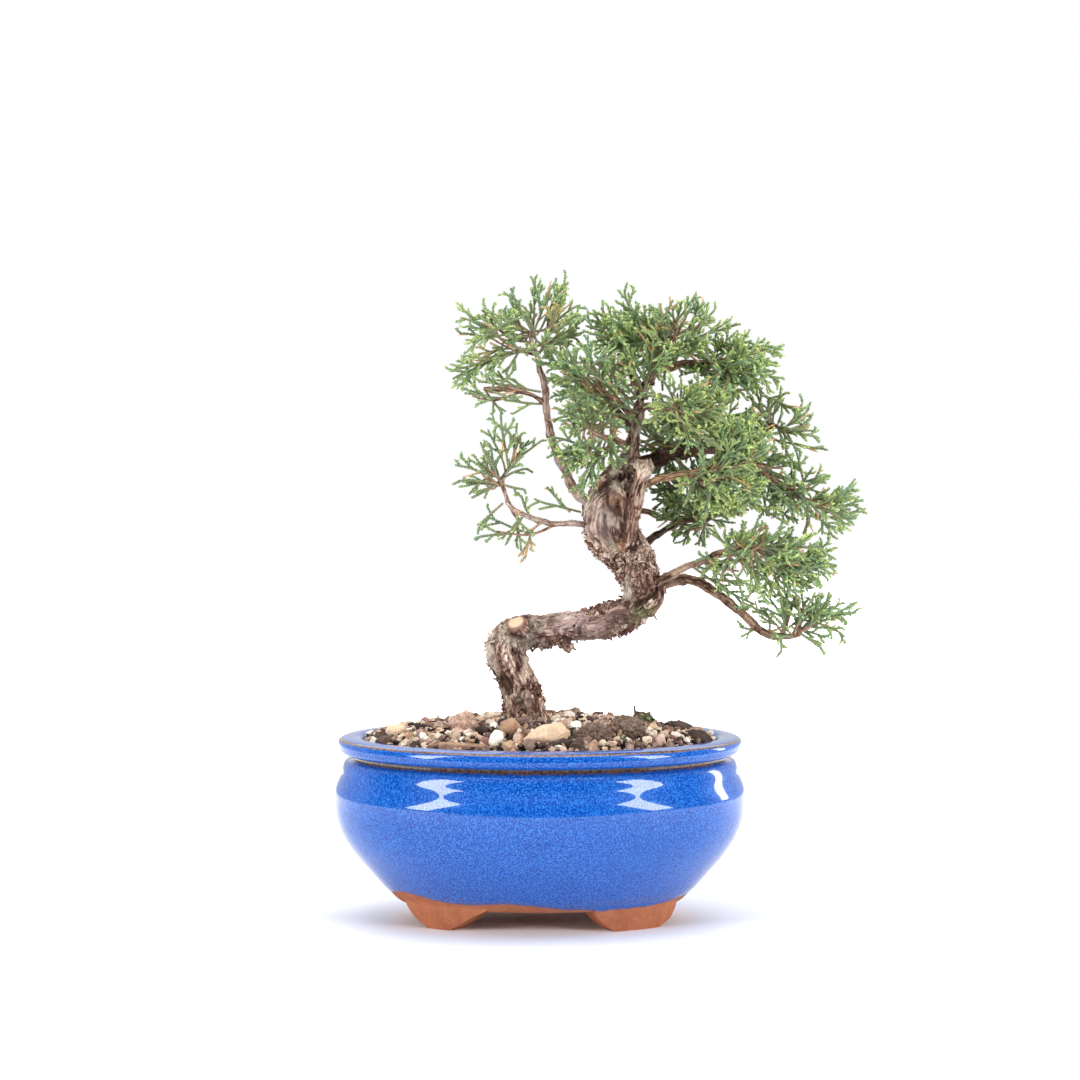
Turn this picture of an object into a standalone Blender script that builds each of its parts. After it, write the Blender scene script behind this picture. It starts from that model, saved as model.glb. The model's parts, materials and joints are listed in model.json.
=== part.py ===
"""Juniper bonsai in an oval glazed pot. Metres, +Z up, standing on its four feet at z = 0.

The pot is drawn about its own centre and the tree about its root collar, where the trunk meets the soil.
At the end the whole plant is moved so that the origin lies under the middle of its outer box.
"""

import math
import random

import bmesh
import bpy
from mathutils import Matrix, Vector

# ---- pot ----------------------------------------------------------------------------------------------
POT_WIDTH = 0.160  # over the lip, along X
POT_DEPTH = 0.120  # over the lip, along Y
POT_HEIGHT = 0.0738  # ground to the lip's crest
FOOT_HEIGHT = 0.0090  # ground to the underside of the floor
WALL = 0.0055
FLOOR = 0.0055
LIP_WIDTH = 0.0095
LIP_HEIGHT = 0.0071
LIP_ROUND = 0.0012
NECK_INSET = 0.0039  # groove under the lip, measured inwards from the lip's edge
NECK_HEIGHT = 0.0022
BELLY_PROUD = 0.0007  # how far the belly stands out past the lip
BELLY_LEVEL = 0.62  # share of the pot's height at which it is widest
BASE_INSET = 0.0197
BASE_BAND = 0.0026  # height of the plain band round the foot of the wall
HOLE_WIDTH = 0.013
HOLE_SPACING = 0.050
FOOT_REACH = (5.0, 69.0)  # degrees round the oval from the long axis that a foot's root spans
SOLE_REACH = (34.0, 54.0)  # the same for its flat sole
SOLE_INSET = 0.0030  # how far the sole stands inside the base's edge
FOOT_DEPTH = 0.0150
SOLE_DEPTH = 0.0090

# ---- what is in the pot -------------------------------------------------------------------------------
GAP = 0.0003  # between pieces that touch
SCREEN_WIDTH = 0.026
SCREEN_THICKNESS = 0.0012
SCREEN_SLOT = 0.0022
SOIL_BELOW_CREST = 0.0020
SOIL_MOUND = 0.0085

# ---- tree ---------------------------------------------------------------------------------------------
COLLAR = (-0.0050, 0.0)  # where the trunk leaves the soil, from the pot's centre
TREE_SIZE = 1.0  # scales every length of the tree above its collar
TRUNK_GIRTH = 1.0  # scales the trunk's radii alone
FOLIAGE_FULLNESS = 1.0  # scales the clusters' radii alone

OVAL_SIDES = 44
LIMB_SIDES = 2  # bevel resolution of a branch
TRUNK_SIDES = 3

MM = 0.001

# Stations are x, y, z and radius in millimetres from the root collar.
TRUNK_LINE = [
    (1.5, 0, -15, 9.0), (-0.4, 0, 2, 8.0), (-4, -1, 14, 7.8), (-7.4, -2, 22, 7.8), (-8.2, -2, 28, 7.9),
    (-5.6, -2, 32.8, 7.7), (0, -1, 35.2, 7.1), (7, 0, 35.6, 6.3), (20, 1, 37, 5.8), (30.5, 2, 38.4, 6.5),
    (40, 2, 42, 6.9), (44.8, 1, 48.3, 7.1), (45.2, 0, 56, 7.8), (40, 0, 66, 9.2), (34, 0, 75.6, 10.8),
    (33.4, 0, 84.8, 11.2), (36, 1, 93, 9.8), (39.6, 1, 100.5, 6.4), (41.6, 0, 108.6, 4.2), (43.6, 0, 120.5, 3.4),
    (45.8, 1, 129.7, 2.8), (50.8, 2, 139.2, 2.2), (55.9, 1, 147, 1.8), (58, 0, 152, 1.3),
]
SAWN_STUB = [(-1.5, -3, 33.5, 4.4), (-3.4, -8, 37.4, 4.1), (-4.4, -10.4, 39.3, 3.7)]
TORN_STUB = [(15, 0, 34, 3.4), (16, -1, 29, 2.2), (16.8, -1, 26, 0.8)]
FRONT_STEM = [(41, -6, 73, 3.6), (42.8, -8.6, 82, 3.4), (44.4, -8.4, 91, 3.5), (45.6, -6.5, 98.6, 4.4),
              (46, -6.6, 102.2, 3.9)]
LEADER_STUB = [(45.2, 1, 126, 2.2), (42.4, -1, 135, 1.9), (39.6, -2, 142.4, 1.6)]

# Each branch: the piece it grows from, then its stations.
BRANCHES = {
    "branch_tall_left": ("trunk", [
        (28.9, 0, 84.8, 2.6), (20.2, -3, 89.2, 2.3), (15.4, -5, 97.5, 2.0), (11.5, -6, 106, 1.8), (8.7, -7, 113.8, 1.7),
        (7.3, -7, 122.1, 1.6), (7, -7, 130.5, 1.4), (5.5, -6, 137.2, 1.3), (3.1, -5, 145.6, 1.1), (0.5, -4, 154, 0.9)]),
    "branch_left_spur": ("branch_tall_left", [
        (7.1, -7, 126, 1.1), (0, -9, 129.4, 1.0), (-8, -11, 130.8, 0.9), (-17, -12, 131.6, 0.8)]),
    "branch_low_left": ("trunk", [
        (28.9, 0, 76, 1.6), (21, -5, 78.2, 1.4), (13.5, -7, 78.5, 1.2), (6.7, -9, 79, 1.2), (0.4, -10, 81.2, 1.1),
        (-5.2, -11, 84, 1.0), (-8.4, -12, 89, 0.9), (-9.6, -12, 97, 0.8)]),
    "branch_right_red": ("trunk", [
        (46.8, -1, 53, 2.5), (54.3, -4, 56.2, 2.1), (61.1, -7, 60.2, 1.6), (68.6, -9, 63.8, 1.4),
        (78.6, -11, 67.6, 1.2), (89, -12, 70, 0.9)]),
    "branch_low_right": ("trunk", [
        (45, 4, 51.4, 2.8), (54, 6, 53.6, 2.4), (63.5, 6, 55, 2.1), (72.2, 4, 52, 2.0), (79.8, 1, 47.1, 1.9),
        (87.3, -2, 40, 1.8), (93.6, -4, 34.8, 1.7), (100.4, -5, 33.2, 1.4), (108, -5, 34.2, 1.1)]),
    "branch_right_thin": ("trunk", [
        (38, 3, 83.6, 1.4), (46, 8, 82.2, 1.3), (53, 11, 80, 1.2), (61, 13, 78, 1.1), (72, 14, 79.6, 1.0),
        (80.5, 14, 83.6, 0.9)]),
    "branch_thick_right": ("trunk", [
        (38.9, 4, 97, 3.6), (48, 8, 102.4, 3.3), (60.3, 10, 105.4, 3.0), (69.8, 11, 107, 2.6), (82.5, 9, 107.8, 2.0),
        (93, 5, 106.4, 1.5)]),
    "branch_far_right": ("branch_thick_right", [
        (82.5, 9, 107.8, 1.5), (90, 3, 101, 1.3), (99, -2, 94, 1.1), (109, -6, 88.6, 0.9)]),
    "branch_gold": ("trunk", [
        (44, -6, 93.5, 1.6), (51.6, -10.6, 95.6, 1.4), (58.7, -14, 97.8, 1.2), (67.8, -18, 99.8, 1.1),
        (76, -21, 101, 0.9)]),
    "branch_front_crown": ("trunk", [
        (44.6, 0, 124, 1.6), (51, -9, 124.6, 1.3), (60, -18, 122.6, 1.0)]),
    "branch_top_right": ("trunk", [
        (50.4, 2, 138.6, 1.8), (62, 4, 141, 1.4), (74, 3, 142.2, 1.1), (84, 1, 143, 0.9)]),
    "branch_upper_right": ("branch_thick_right", [
        (69.8, 11, 107, 1.8), (78, 9, 112, 1.4), (88, 6, 115, 1.1), (99, 3, 116.4, 0.9)]),
    "branch_crown_left": ("trunk", [
        (43.4, 0, 119, 1.8), (35, -5, 126.4, 1.4), (26, -8, 132.4, 1.0)]),
    "branch_heart_left": ("trunk", [
        (41.6, 0, 107, 2.0), (33.7, -7, 111.4, 1.5), (25, -13, 114.6, 1.1)]),
    "branch_back_left": ("trunk", [
        (42.6, 1, 113, 1.9), (37, 13, 121, 1.4), (30, 24, 128, 1.0)]),
    "branch_back_right": ("branch_thick_right", [
        (60.3, 10, 105.4, 1.8), (65, 20, 111.6, 1.4), (70, 29, 117, 1.0)]),
    "branch_back_low": ("trunk", [
        (41, 3, 66, 2.1), (50, 15, 71, 1.6), (62, 24, 78, 1.3), (74, 27, 85, 1.0)]),
}

# Each cluster of foliage sprays: its middle and its three radii, in millimetres from the root collar.
FOLIAGE = {
    "foliage_crown_left_tip": ((-12, -5, 157), (16, 12, 12)),
    "foliage_crown_left": ((9, -3, 160), (17, 14, 13)),
    "foliage_left_spur": ((-15.5, -12, 131.5), (15, 9, 8)),
    "foliage_low_left_top": ((-7.6, -12, 105.5), (11.5, 9, 15)),
    "foliage_low_left_tip": ((-23, -11, 98), (9.5, 8, 10)),
    "foliage_low_left_under": ((-6, -11, 76.5), (16, 9, 9)),
    "foliage_crown_centre": ((21, -9, 139), (17, 13, 14)),
    "foliage_heart_left": ((23, -17, 113.5), (17, 11, 15)),
    "foliage_apex_left": ((36.5, -4, 158), (14, 13, 14.5)),
    "foliage_apex_right": ((64, -3, 158), (14, 13, 14.5)),
    "foliage_top_right": ((83, 0, 143), (19, 15, 14)),
    "foliage_front_crown": ((64, -22, 122), (17, 11, 14)),
    "foliage_upper_right": ((102, 2, 116), (16, 14, 15)),
    "foliage_right_shoulder": ((84, -17, 112), (13, 10, 13)),
    "foliage_right_heart": ((77, -17, 92), (17, 12, 13)),
    "foliage_far_right": ((113, -7, 87), (18, 13, 12)),
    "foliage_right_mid": ((88, -12, 66.5), (17, 13, 13.5)),
    "foliage_right_mid_tip": ((112.5, -8, 63.5), (14, 11, 12)),
    "foliage_low_right": ((98, -5, 43.5), (14, 12, 11)),
    "foliage_low_right_tip": ((118.5, -5, 41), (12.5, 11, 10)),
    "foliage_under_heart": ((64, 9, 81), (12, 10, 11)),
    "foliage_back_left": ((27, 22, 130), (18, 13, 16)),
    "foliage_back_crown": ((52, 21, 148), (16, 12, 14)),
    "foliage_back_right": ((70, 26, 119), (18, 13, 15)),
    "foliage_back_low": ((74, 27, 89), (17, 12, 14)),
    "foliage_back_edge": ((97, 19, 94), (14, 11, 13)),
}

# Loose pieces on the soil: x and y from the pot's centre, then length, width, height, turn in degrees and colour.
TOP_DRESSING = {
    "pebble_large": (3.2, -36, 19, 9, 10, 22, "tan_stone"),
    "pebble_olive": (-11.7, -26, 8.5, 7, 8, 10, "pale_stone"),
    "pebble_white": (-17, -38.5, 5.5, 5, 7, 0, "pale_stone"),
    "pebble_red": (-30, -18, 9, 8, 11, 30, "red_stone"),
    "pebble_tan": (-57, -9, 8.5, 7, 7, 15, "tan_stone"),
    "lump_left": (21, -33, 13, 9, 10, 4, "red_stone"),
    "lump_right": (34, -23, 13, 9, 10, -8, "red_stone"),
    "bark_chip_long": (-32, -40.5, 22, 4.5, 5, -18, "bark"),
    "bark_chip_mossy": (41, 4, 9, 6, 9, 0, "bark"),
    "bark_chip_right": (57.5, 0, 10, 5, 7, -12, "bark"),
    "bark_chip_edge": (63, -14, 10, 5, 6, -30, "bark"),
}

COLOURS = {
    "glaze": ((0.016, 0.105, 0.52), 0.12),
    "plastic": ((0.02, 0.02, 0.02), 0.5),
    "soil": ((0.16, 0.11, 0.08), 0.95),
    "wood": ((0.28, 0.19, 0.15), 0.9),
    "twig": ((0.36, 0.21, 0.14), 0.85),
    "foliage": ((0.06, 0.20, 0.06), 0.6),
    "tan_stone": ((0.62, 0.45, 0.28), 0.9),
    "pale_stone": ((0.72, 0.62, 0.46), 0.9),
    "red_stone": ((0.30, 0.17, 0.14), 0.95),
    "bark": ((0.13, 0.08, 0.06), 0.9),
}


# ---- helpers ------------------------------------------------------------------------------------------
def material(name):
    found = bpy.data.materials.get(name)
    if found:
        return found
    colour, roughness = COLOURS[name]
    made = bpy.data.materials.new(name)
    made.use_nodes = True
    shader = made.node_tree.nodes["Principled BSDF"]
    shader.inputs["Base Color"].default_value = (*colour, 1)
    shader.inputs["Roughness"].default_value = roughness
    shader.inputs["Metallic"].default_value = 0
    return made


def add_object(name, data, parent, colour=None):
    obj = bpy.data.objects.new(name, data)
    bpy.context.scene.collection.objects.link(obj)
    obj.parent = parent
    if colour:
        data.materials.append(material(colour))
    else:  # a cutter or a tool, which isn't a piece of the plant
        obj.hide_render = True
        obj.display_type = "WIRE"
    return obj


def mesh_from(name, bm, smooth_below=None):
    bmesh.ops.recalc_face_normals(bm, faces=bm.faces)
    mesh = bpy.data.meshes.new(name)
    bm.to_mesh(mesh)
    bm.free()
    if smooth_below is not None:
        mesh.shade_smooth()
        mesh.set_sharp_from_angle(angle=math.radians(smooth_below))
    return mesh


def boolean(obj, tool, operation="DIFFERENCE"):
    modifier = obj.modifiers.new(tool.name, "BOOLEAN")
    modifier.operation = operation
    modifier.solver = "EXACT"
    modifier.object = tool


def add_ring(bm, points):
    verts = [bm.verts.new(p) for p in points]
    return [bm.edges.new((verts[i - 1], verts[i])) for i in range(len(verts))]


def loft(name, rings, smooth_below=40):
    """A closed body through these rings of points, capped at both ends."""
    bm = bmesh.new()
    loops = [add_ring(bm, ring) for ring in rings]
    for lower, upper in zip(loops, loops[1:]):
        bmesh.ops.bridge_loops(bm, edges=lower + upper)
    for end in (loops[0], loops[-1]):
        bmesh.ops.contextual_create(bm, geom=end)
    return mesh_from(name, bm, smooth_below)


def smooth_stations(stations, per_span=2):
    """Points of a Catmull-Rom curve through the stations, in metres, each with its radius."""
    given = [Vector(s) * MM for s in stations]
    ends = [given[0] * 2 - given[1], *given, given[-1] * 2 - given[-2]]
    made = []
    for a, b, c, d in zip(ends, ends[1:], ends[2:], ends[3:]):
        for step in range(per_span):
            t = step / per_span
            made.append(0.5 * (2 * b + (c - a) * t + (2 * a - 5 * b + 4 * c - d) * t * t
                               + (3 * b - a - 3 * c + d) * t * t * t))
    return [*made, given[-1]]


def limb_mesh(name, stations, girth=1.0, clearance=0.0, sides=LIMB_SIDES):
    """A tapering limb along the stations. The clearance swells it and lengthens its tip."""
    points = smooth_stations(stations)
    curve = bpy.data.curves.new(name, "CURVE")
    curve.dimensions = "3D"
    curve.bevel_depth = 1.0
    curve.bevel_resolution = sides
    curve.use_fill_caps = True
    spline = curve.splines.new("POLY")
    spline.points.add(len(points) - 1)
    lead = (points[-1].xyz - points[-2].xyz).normalized() * clearance
    for i, point in enumerate(points):
        at = point.xyz * TREE_SIZE + (lead if i == len(points) - 1 else Vector((0, 0, 0)))
        spline.points[i].co = (*at, 1)
        spline.points[i].radius = point.w * TREE_SIZE * girth + clearance
    guide = bpy.data.objects.new(name, curve)
    bpy.context.scene.collection.objects.link(guide)
    graph = bpy.context.evaluated_depsgraph_get()
    mesh = bpy.data.meshes.new_from_object(guide.evaluated_get(graph))
    bpy.data.objects.remove(guide)
    bm = bmesh.new()
    bm.from_mesh(mesh)
    bmesh.ops.remove_doubles(bm, verts=bm.verts, dist=1e-6)
    return mesh_from(name, bm, 50)


# ---- pot ----------------------------------------------------------------------------------------------
def oval(inset, z, sides=OVAL_SIDES):
    """A ring of the pot's plan, the same distance inside the lip's edge all the way round."""
    a, b = POT_WIDTH / 2 - inset, POT_DEPTH / 2 - inset
    turns = (2 * math.pi * i / sides for i in range(sides))
    return [(a * math.cos(t), b * math.sin(t), z) for t in turns]


def bezier(p0, p1, p2, p3, steps):
    """Points after p0 along a cubic curve in (inset, height)."""
    found = []
    for i in range(1, steps + 1):
        t = i / steps
        weights = ((1 - t) ** 3, 3 * t * (1 - t) ** 2, 3 * t * t * (1 - t), t ** 3)
        found.append(tuple(sum(w * p[k] for w, p in zip(weights, (p0, p1, p2, p3))) for k in (0, 1)))
    return found


LIP_UNDERSIDE = POT_HEIGHT - LIP_HEIGHT
NECK_FOOT = LIP_UNDERSIDE - NECK_HEIGHT
BELLY_Z = POT_HEIGHT * BELLY_LEVEL
BASE_TOP = FOOT_HEIGHT + BASE_BAND
FLOOR_TOP = FOOT_HEIGHT + FLOOR


def outer_profile():
    """(inset, height) from the base to the lip's crest, up the outside."""
    widest = (-BELLY_PROUD, BELLY_Z)
    drop = BELLY_Z - BASE_TOP
    lower = bezier((BASE_INSET, BASE_TOP), (BASE_INSET * 0.37, BASE_TOP + drop * 0.36),
                   (-BELLY_PROUD, BELLY_Z - drop * 0.4), widest, 6)
    rise = NECK_FOOT - BELLY_Z
    upper = bezier(widest, (-BELLY_PROUD, BELLY_Z + rise * 0.45),
                   (NECK_INSET * 0.45, NECK_FOOT - rise * 0.3), (NECK_INSET, NECK_FOOT), 4)
    lip = [
        (NECK_INSET, LIP_UNDERSIDE), (LIP_ROUND, LIP_UNDERSIDE + LIP_ROUND * 0.3),
        (0, LIP_UNDERSIDE + LIP_ROUND * 1.6), (0, POT_HEIGHT - LIP_ROUND * 1.2),
        (LIP_ROUND * 0.6, POT_HEIGHT - LIP_ROUND * 0.6), (LIP_WIDTH * 0.6, POT_HEIGHT),
    ]
    return [(BASE_INSET, FOOT_HEIGHT), (BASE_INSET, BASE_TOP), *lower, *upper, *lip]


def inner_inset(z):
    """How far inside the lip's edge the bowl's wall stands at this height."""
    mouth_foot = POT_HEIGHT - 1.6 * LIP_HEIGHT
    if z >= mouth_foot:
        return LIP_WIDTH
    corner = BASE_INSET + WALL
    below = (mouth_foot - z) / (mouth_foot - FLOOR_TOP)
    return LIP_WIDTH + (corner - LIP_WIDTH) * below ** 2.6 - 0.0022 * math.sin(math.pi * min(1, below * 1.3)) ** 2


def inner_levels():
    """Heights of the bowl's rings, from the mouth down to the floor."""
    steps = 7
    return [POT_HEIGHT - LIP_ROUND] + [
        FLOOR_TOP + (POT_HEIGHT - 1.6 * LIP_HEIGHT - FLOOR_TOP) * (1 - i / steps) ** 1.25 for i in range(steps + 1)]


def foot_mesh(name, side_x, side_y):
    """A bracket under the base's edge, wide at its root and narrowing to a flat sole."""
    steps = 6
    rings = []
    for height, drawn_in in ((1.4, 0), (0.8, 0.14), (0.5, 0.38), (0.2, 0.7), (0.05, 0.92), (0, 1)):
        first, last = (a + (b - a) * drawn_in for a, b in zip(FOOT_REACH, SOLE_REACH))
        front = BASE_INSET + GAP + SOLE_INSET * drawn_in
        back = front + FOOT_DEPTH + (SOLE_DEPTH - FOOT_DEPTH) * drawn_in
        turns = [math.radians(first + (last - first) * i / steps) for i in range(steps + 1)]
        z = FOOT_HEIGHT + FLOOR * 0.5 if height > 1 else FOOT_HEIGHT * height
        outline = [(front, t) for t in turns] + [(back, t) for t in reversed(turns)]
        rings.append([(side_x * (POT_WIDTH / 2 - inset) * math.cos(t),
                       side_y * (POT_DEPTH / 2 - inset) * math.sin(t), z) for inset, t in outline])
    return loft(name, rings, 30)


def add_pot(root):
    inner = [(inner_inset(z), z) for z in inner_levels()]
    pot = add_object("pot", loft("pot", [oval(*p) for p in outer_profile() + inner]), root, "glaze")
    for side_x, side_y in ((-1, -1), (1, -1), (-1, 1), (1, 1)):
        name = f"foot_{'left' if side_x < 0 else 'right'}_{'front' if side_y < 0 else 'back'}"
        boolean(pot, add_object(name, foot_mesh(name, side_x, side_y), root), "UNION")
    for x in (-HOLE_SPACING / 2, HOLE_SPACING / 2):
        bm = bmesh.new()
        bmesh.ops.create_cone(bm, cap_ends=True, segments=16, radius1=HOLE_WIDTH / 2, radius2=HOLE_WIDTH / 2,
                              depth=FLOOR * 3, matrix=Matrix.Translation((x, 0, FLOOR_TOP)))
        boolean(pot, add_object("drain_cutter", mesh_from("drain_cutter", bm), root))
    return pot


# ---- screens, soil and top dressing -------------------------------------------------------------------
def box_mesh(name, size, middle):
    bm = bmesh.new()
    bmesh.ops.create_cube(bm, size=1, matrix=Matrix.Translation(middle) @ Matrix.Diagonal((*size, 1)))
    return mesh_from(name, bm)


def add_screen(side, root):
    """A square of plastic mesh on the floor of the bowl, over a drainage hole."""
    x = side * HOLE_SPACING / 2
    z = FLOOR_TOP + GAP + SCREEN_THICKNESS / 2
    name = "screen_left" if side < 0 else "screen_right"
    size = (SCREEN_WIDTH, SCREEN_WIDTH, SCREEN_THICKNESS)
    screen = add_object(name, box_mesh(name, size, (x, 0, z)), root, "plastic")
    pitch = SCREEN_SLOT * 2
    count = int(HOLE_WIDTH / pitch) | 1
    for i in range(count):
        offset = (i - (count - 1) / 2) * pitch
        slot = (SCREEN_SLOT, HOLE_WIDTH, SCREEN_THICKNESS * 3)
        boolean(screen, add_object("slot_cutter", box_mesh("slot_cutter", slot, (x + offset, 0, z)), root))
    return screen


def soil_top(x, y):
    """Height of the soil's surface, mounded towards the middle of the pot."""
    a, b = POT_WIDTH / 2 - LIP_WIDTH, POT_DEPTH / 2 - LIP_WIDTH
    out = min(1.0, (x / a) ** 2 + (y / b) ** 2)
    return POT_HEIGHT - SOIL_BELOW_CREST + SOIL_MOUND * (1 - out) ** 0.9


def add_soil(root, cutters):
    edge_z = POT_HEIGHT - SOIL_BELOW_CREST
    rings = []
    for z in [z for z in reversed(inner_levels()) if z < edge_z - GAP]:
        rings.append(oval(inner_inset(z) + GAP, z + GAP))
    rings.append(oval(LIP_WIDTH + GAP, edge_z))
    a, b = POT_WIDTH / 2 - LIP_WIDTH - GAP, POT_DEPTH / 2 - LIP_WIDTH - GAP
    for share in (0.86, 0.66, 0.42, 0.18):
        ring = [(x * share * a, y * share * b) for x, y in
                ((math.cos(2 * math.pi * i / OVAL_SIDES), math.sin(2 * math.pi * i / OVAL_SIDES))
                 for i in range(OVAL_SIDES))]
        rings.append([(x, y, soil_top(x, y)) for x, y in ring])
    soil = add_object("soil", loft("soil", rings), root, "soil")
    for side in (-1, 1):
        size = (SCREEN_WIDTH + 2 * GAP, SCREEN_WIDTH + 2 * GAP, SCREEN_THICKNESS + 3 * GAP)
        middle = (side * HOLE_SPACING / 2, 0, FLOOR_TOP + size[2] / 2)
        cutters.append(add_object("screen_clearance", box_mesh("screen_clearance", size, middle), root))
    for cutter in cutters:
        boolean(soil, cutter)
    return soil


def stone_mesh(name, spec, seed, clearance=0.0):
    """An irregular lump, sunk a third of its height into the soil."""
    x, y, length, width, height, turn, _ = spec
    x, y = x * MM, y * MM
    chance = random.Random(seed)
    bm = bmesh.new()
    bmesh.ops.create_icosphere(bm, subdivisions=2, radius=0.5)
    for vert in bm.verts:
        vert.co *= chance.uniform(0.86, 1.06)
    size = (length * MM + 2 * clearance, width * MM + 2 * clearance, height * MM + 2 * clearance)
    place = Matrix.Translation((x, y, soil_top(x, y) + height * MM * 0.17))
    bm.transform(place @ Matrix.Rotation(math.radians(turn), 4, "Z") @ Matrix.Diagonal((*size, 1)))
    return mesh_from(name, bm)


def add_top_dressing(root):
    """The larger stones and bark chips that lie on the soil. Returns their clearance shapes."""
    cutters = []
    for seed, (name, spec) in enumerate(TOP_DRESSING.items()):
        add_object(name, stone_mesh(name, spec, seed), root, spec[-1])
        hollow = name + "_clearance"
        cutters.append(add_object(hollow, stone_mesh(hollow, spec, seed, 1.8 * GAP), root))
    return cutters


# ---- tree ---------------------------------------------------------------------------------------------
def add_trunk(name, tree, colour=None, clearance=0.0):
    """The trunk with its stubs and fused stem, grown as one piece."""
    line = limb_mesh(name, TRUNK_LINE, TRUNK_GIRTH, clearance, TRUNK_SIDES)
    trunk = add_object(name, line, tree, colour)
    for part, stations in (("sawn_stub", SAWN_STUB), ("torn_stub", TORN_STUB),
                           ("front_stem", FRONT_STEM), ("leader_stub", LEADER_STUB)):
        shape = limb_mesh(part, stations, TRUNK_GIRTH, clearance)
        boolean(trunk, add_object(part, shape, tree), "UNION")
    return trunk


def box_of(obj):
    """Lowest and highest corners of the object as its modifiers leave it, in its parent's frame."""
    graph = bpy.context.evaluated_depsgraph_get()
    corners = [Vector(c) for c in obj.evaluated_get(graph).bound_box]
    return [Vector(pick(c[k] for c in corners) for k in range(3)) for pick in (min, max)]


def boxes_meet(a, b):
    (a_low, a_high), (b_low, b_high) = box_of(a), box_of(b)
    return all(a_low[k] < b_high[k] and b_low[k] < a_high[k] for k in range(3))


def add_branches(tree, trunk_clearance):
    """Each branch, cut off square to the bark of what it grows from. Returns all the clearance shapes."""
    clearances = {"trunk": trunk_clearance}
    for name, (parent, stations) in BRANCHES.items():
        branch = add_object(name, limb_mesh(name, stations), tree, "twig")
        hollow = name + "_clearance"
        for other, shape in clearances.items():
            if other == parent or boxes_meet(branch, shape):
                boolean(branch, shape)
        clearances[name] = add_object(hollow, limb_mesh(hollow, stations, 1.0, GAP), tree)
    return list(clearances.values())


def cluster_mesh(name, middle, radii, clearance=0.0):
    bm = bmesh.new()
    bmesh.ops.create_uvsphere(bm, u_segments=10, v_segments=7, radius=1)
    size = [r * MM * TREE_SIZE * FOLIAGE_FULLNESS + clearance for r in radii]
    place = Matrix.Translation(Vector(middle) * MM * TREE_SIZE)
    bm.transform(place @ Matrix.Diagonal((*size, 1)))
    return mesh_from(name, bm, 60)


def add_foliage(tree, limbs):
    """Each cluster of sprays, hollowed for the limbs in it and for the clusters made before it."""
    made = []
    for name, (middle, radii) in FOLIAGE.items():
        cluster = add_object(name, cluster_mesh(name, middle, radii), tree, "foliage")
        for shape in limbs + made:
            if boxes_meet(cluster, shape):
                boolean(cluster, shape)
        hollow = name + "_clearance"
        made.append(add_object(hollow, cluster_mesh(hollow, middle, radii, GAP), tree))


# ---- the whole plant ----------------------------------------------------------------------------------
def centre_on_origin(root):
    """Moves the plant so that the origin lies under the middle of its outer box."""
    bpy.context.view_layer.update()
    graph = bpy.context.evaluated_depsgraph_get()
    points = []
    for obj in bpy.context.scene.objects:
        if obj.type == "MESH" and not obj.hide_render:
            shown = obj.evaluated_get(graph)
            points += [shown.matrix_world @ v.co for v in shown.data.vertices]
    for k in (0, 1):
        root.location[k] -= (min(p[k] for p in points) + max(p[k] for p in points)) / 2


def main():
    for obj in list(bpy.data.objects):
        bpy.data.objects.remove(obj)
    root = bpy.data.objects.new("bonsai", None)
    tree = bpy.data.objects.new("tree", None)
    for empty in (root, tree):
        bpy.context.scene.collection.objects.link(empty)
    tree.parent = root
    tree.location = (*COLLAR, soil_top(*COLLAR))

    add_pot(root)
    for side in (-1, 1):
        add_screen(side, root)
    add_trunk("trunk", tree, "wood")
    trunk_clearance = add_trunk("trunk_clearance", tree, clearance=GAP)
    dressing = add_top_dressing(root)
    bpy.context.view_layer.update()
    add_soil(root, dressing + [trunk_clearance])
    limbs = add_branches(tree, trunk_clearance)
    add_foliage(tree, limbs)
    centre_on_origin(root)


main()
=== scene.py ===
import json
import math
import random

import bmesh
import bpy
import numpy as np
from mathutils import Matrix, Quaternion, Vector, noise
from mathutils.kdtree import KDTree


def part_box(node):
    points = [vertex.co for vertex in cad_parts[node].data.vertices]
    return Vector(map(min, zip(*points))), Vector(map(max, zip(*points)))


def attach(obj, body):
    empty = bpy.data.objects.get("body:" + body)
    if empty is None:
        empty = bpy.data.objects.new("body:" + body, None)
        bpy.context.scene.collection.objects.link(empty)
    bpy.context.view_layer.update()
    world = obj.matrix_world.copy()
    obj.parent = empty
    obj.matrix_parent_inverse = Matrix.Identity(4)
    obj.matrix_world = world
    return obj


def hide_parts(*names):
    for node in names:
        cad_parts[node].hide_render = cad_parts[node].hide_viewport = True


# Juniper bonsai in an oval glazed pot. Lengths of the tree are in millimetres from its root collar.

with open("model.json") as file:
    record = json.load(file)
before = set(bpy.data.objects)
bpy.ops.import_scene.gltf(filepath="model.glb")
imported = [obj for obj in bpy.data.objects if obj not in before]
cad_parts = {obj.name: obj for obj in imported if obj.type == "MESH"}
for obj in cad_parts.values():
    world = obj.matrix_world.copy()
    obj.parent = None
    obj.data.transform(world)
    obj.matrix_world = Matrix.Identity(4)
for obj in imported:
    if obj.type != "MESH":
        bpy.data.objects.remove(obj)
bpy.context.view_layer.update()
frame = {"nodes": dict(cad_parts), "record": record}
mm = 0.001
potLow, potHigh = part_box("pot")
potX = (potLow[0] + potHigh[0]) / 2
potY = (potLow[1] + potHigh[1]) / 2
crest = potHigh[2]


# Small tools for nodes, meshes and curves.

def setNode(tree, kind, inputs=None, **settings):
    made = tree.nodes.new(kind)
    for name, value in settings.items():
        setattr(made, name, value)
    for name, value in (inputs or {}).items():
        plug(tree, made.inputs[name], value)
    return made


def plug(tree, socket, value):
    if isinstance(value, bpy.types.NodeSocket):
        tree.links.new(value, socket)
    else:
        socket.default_value = value


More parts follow.
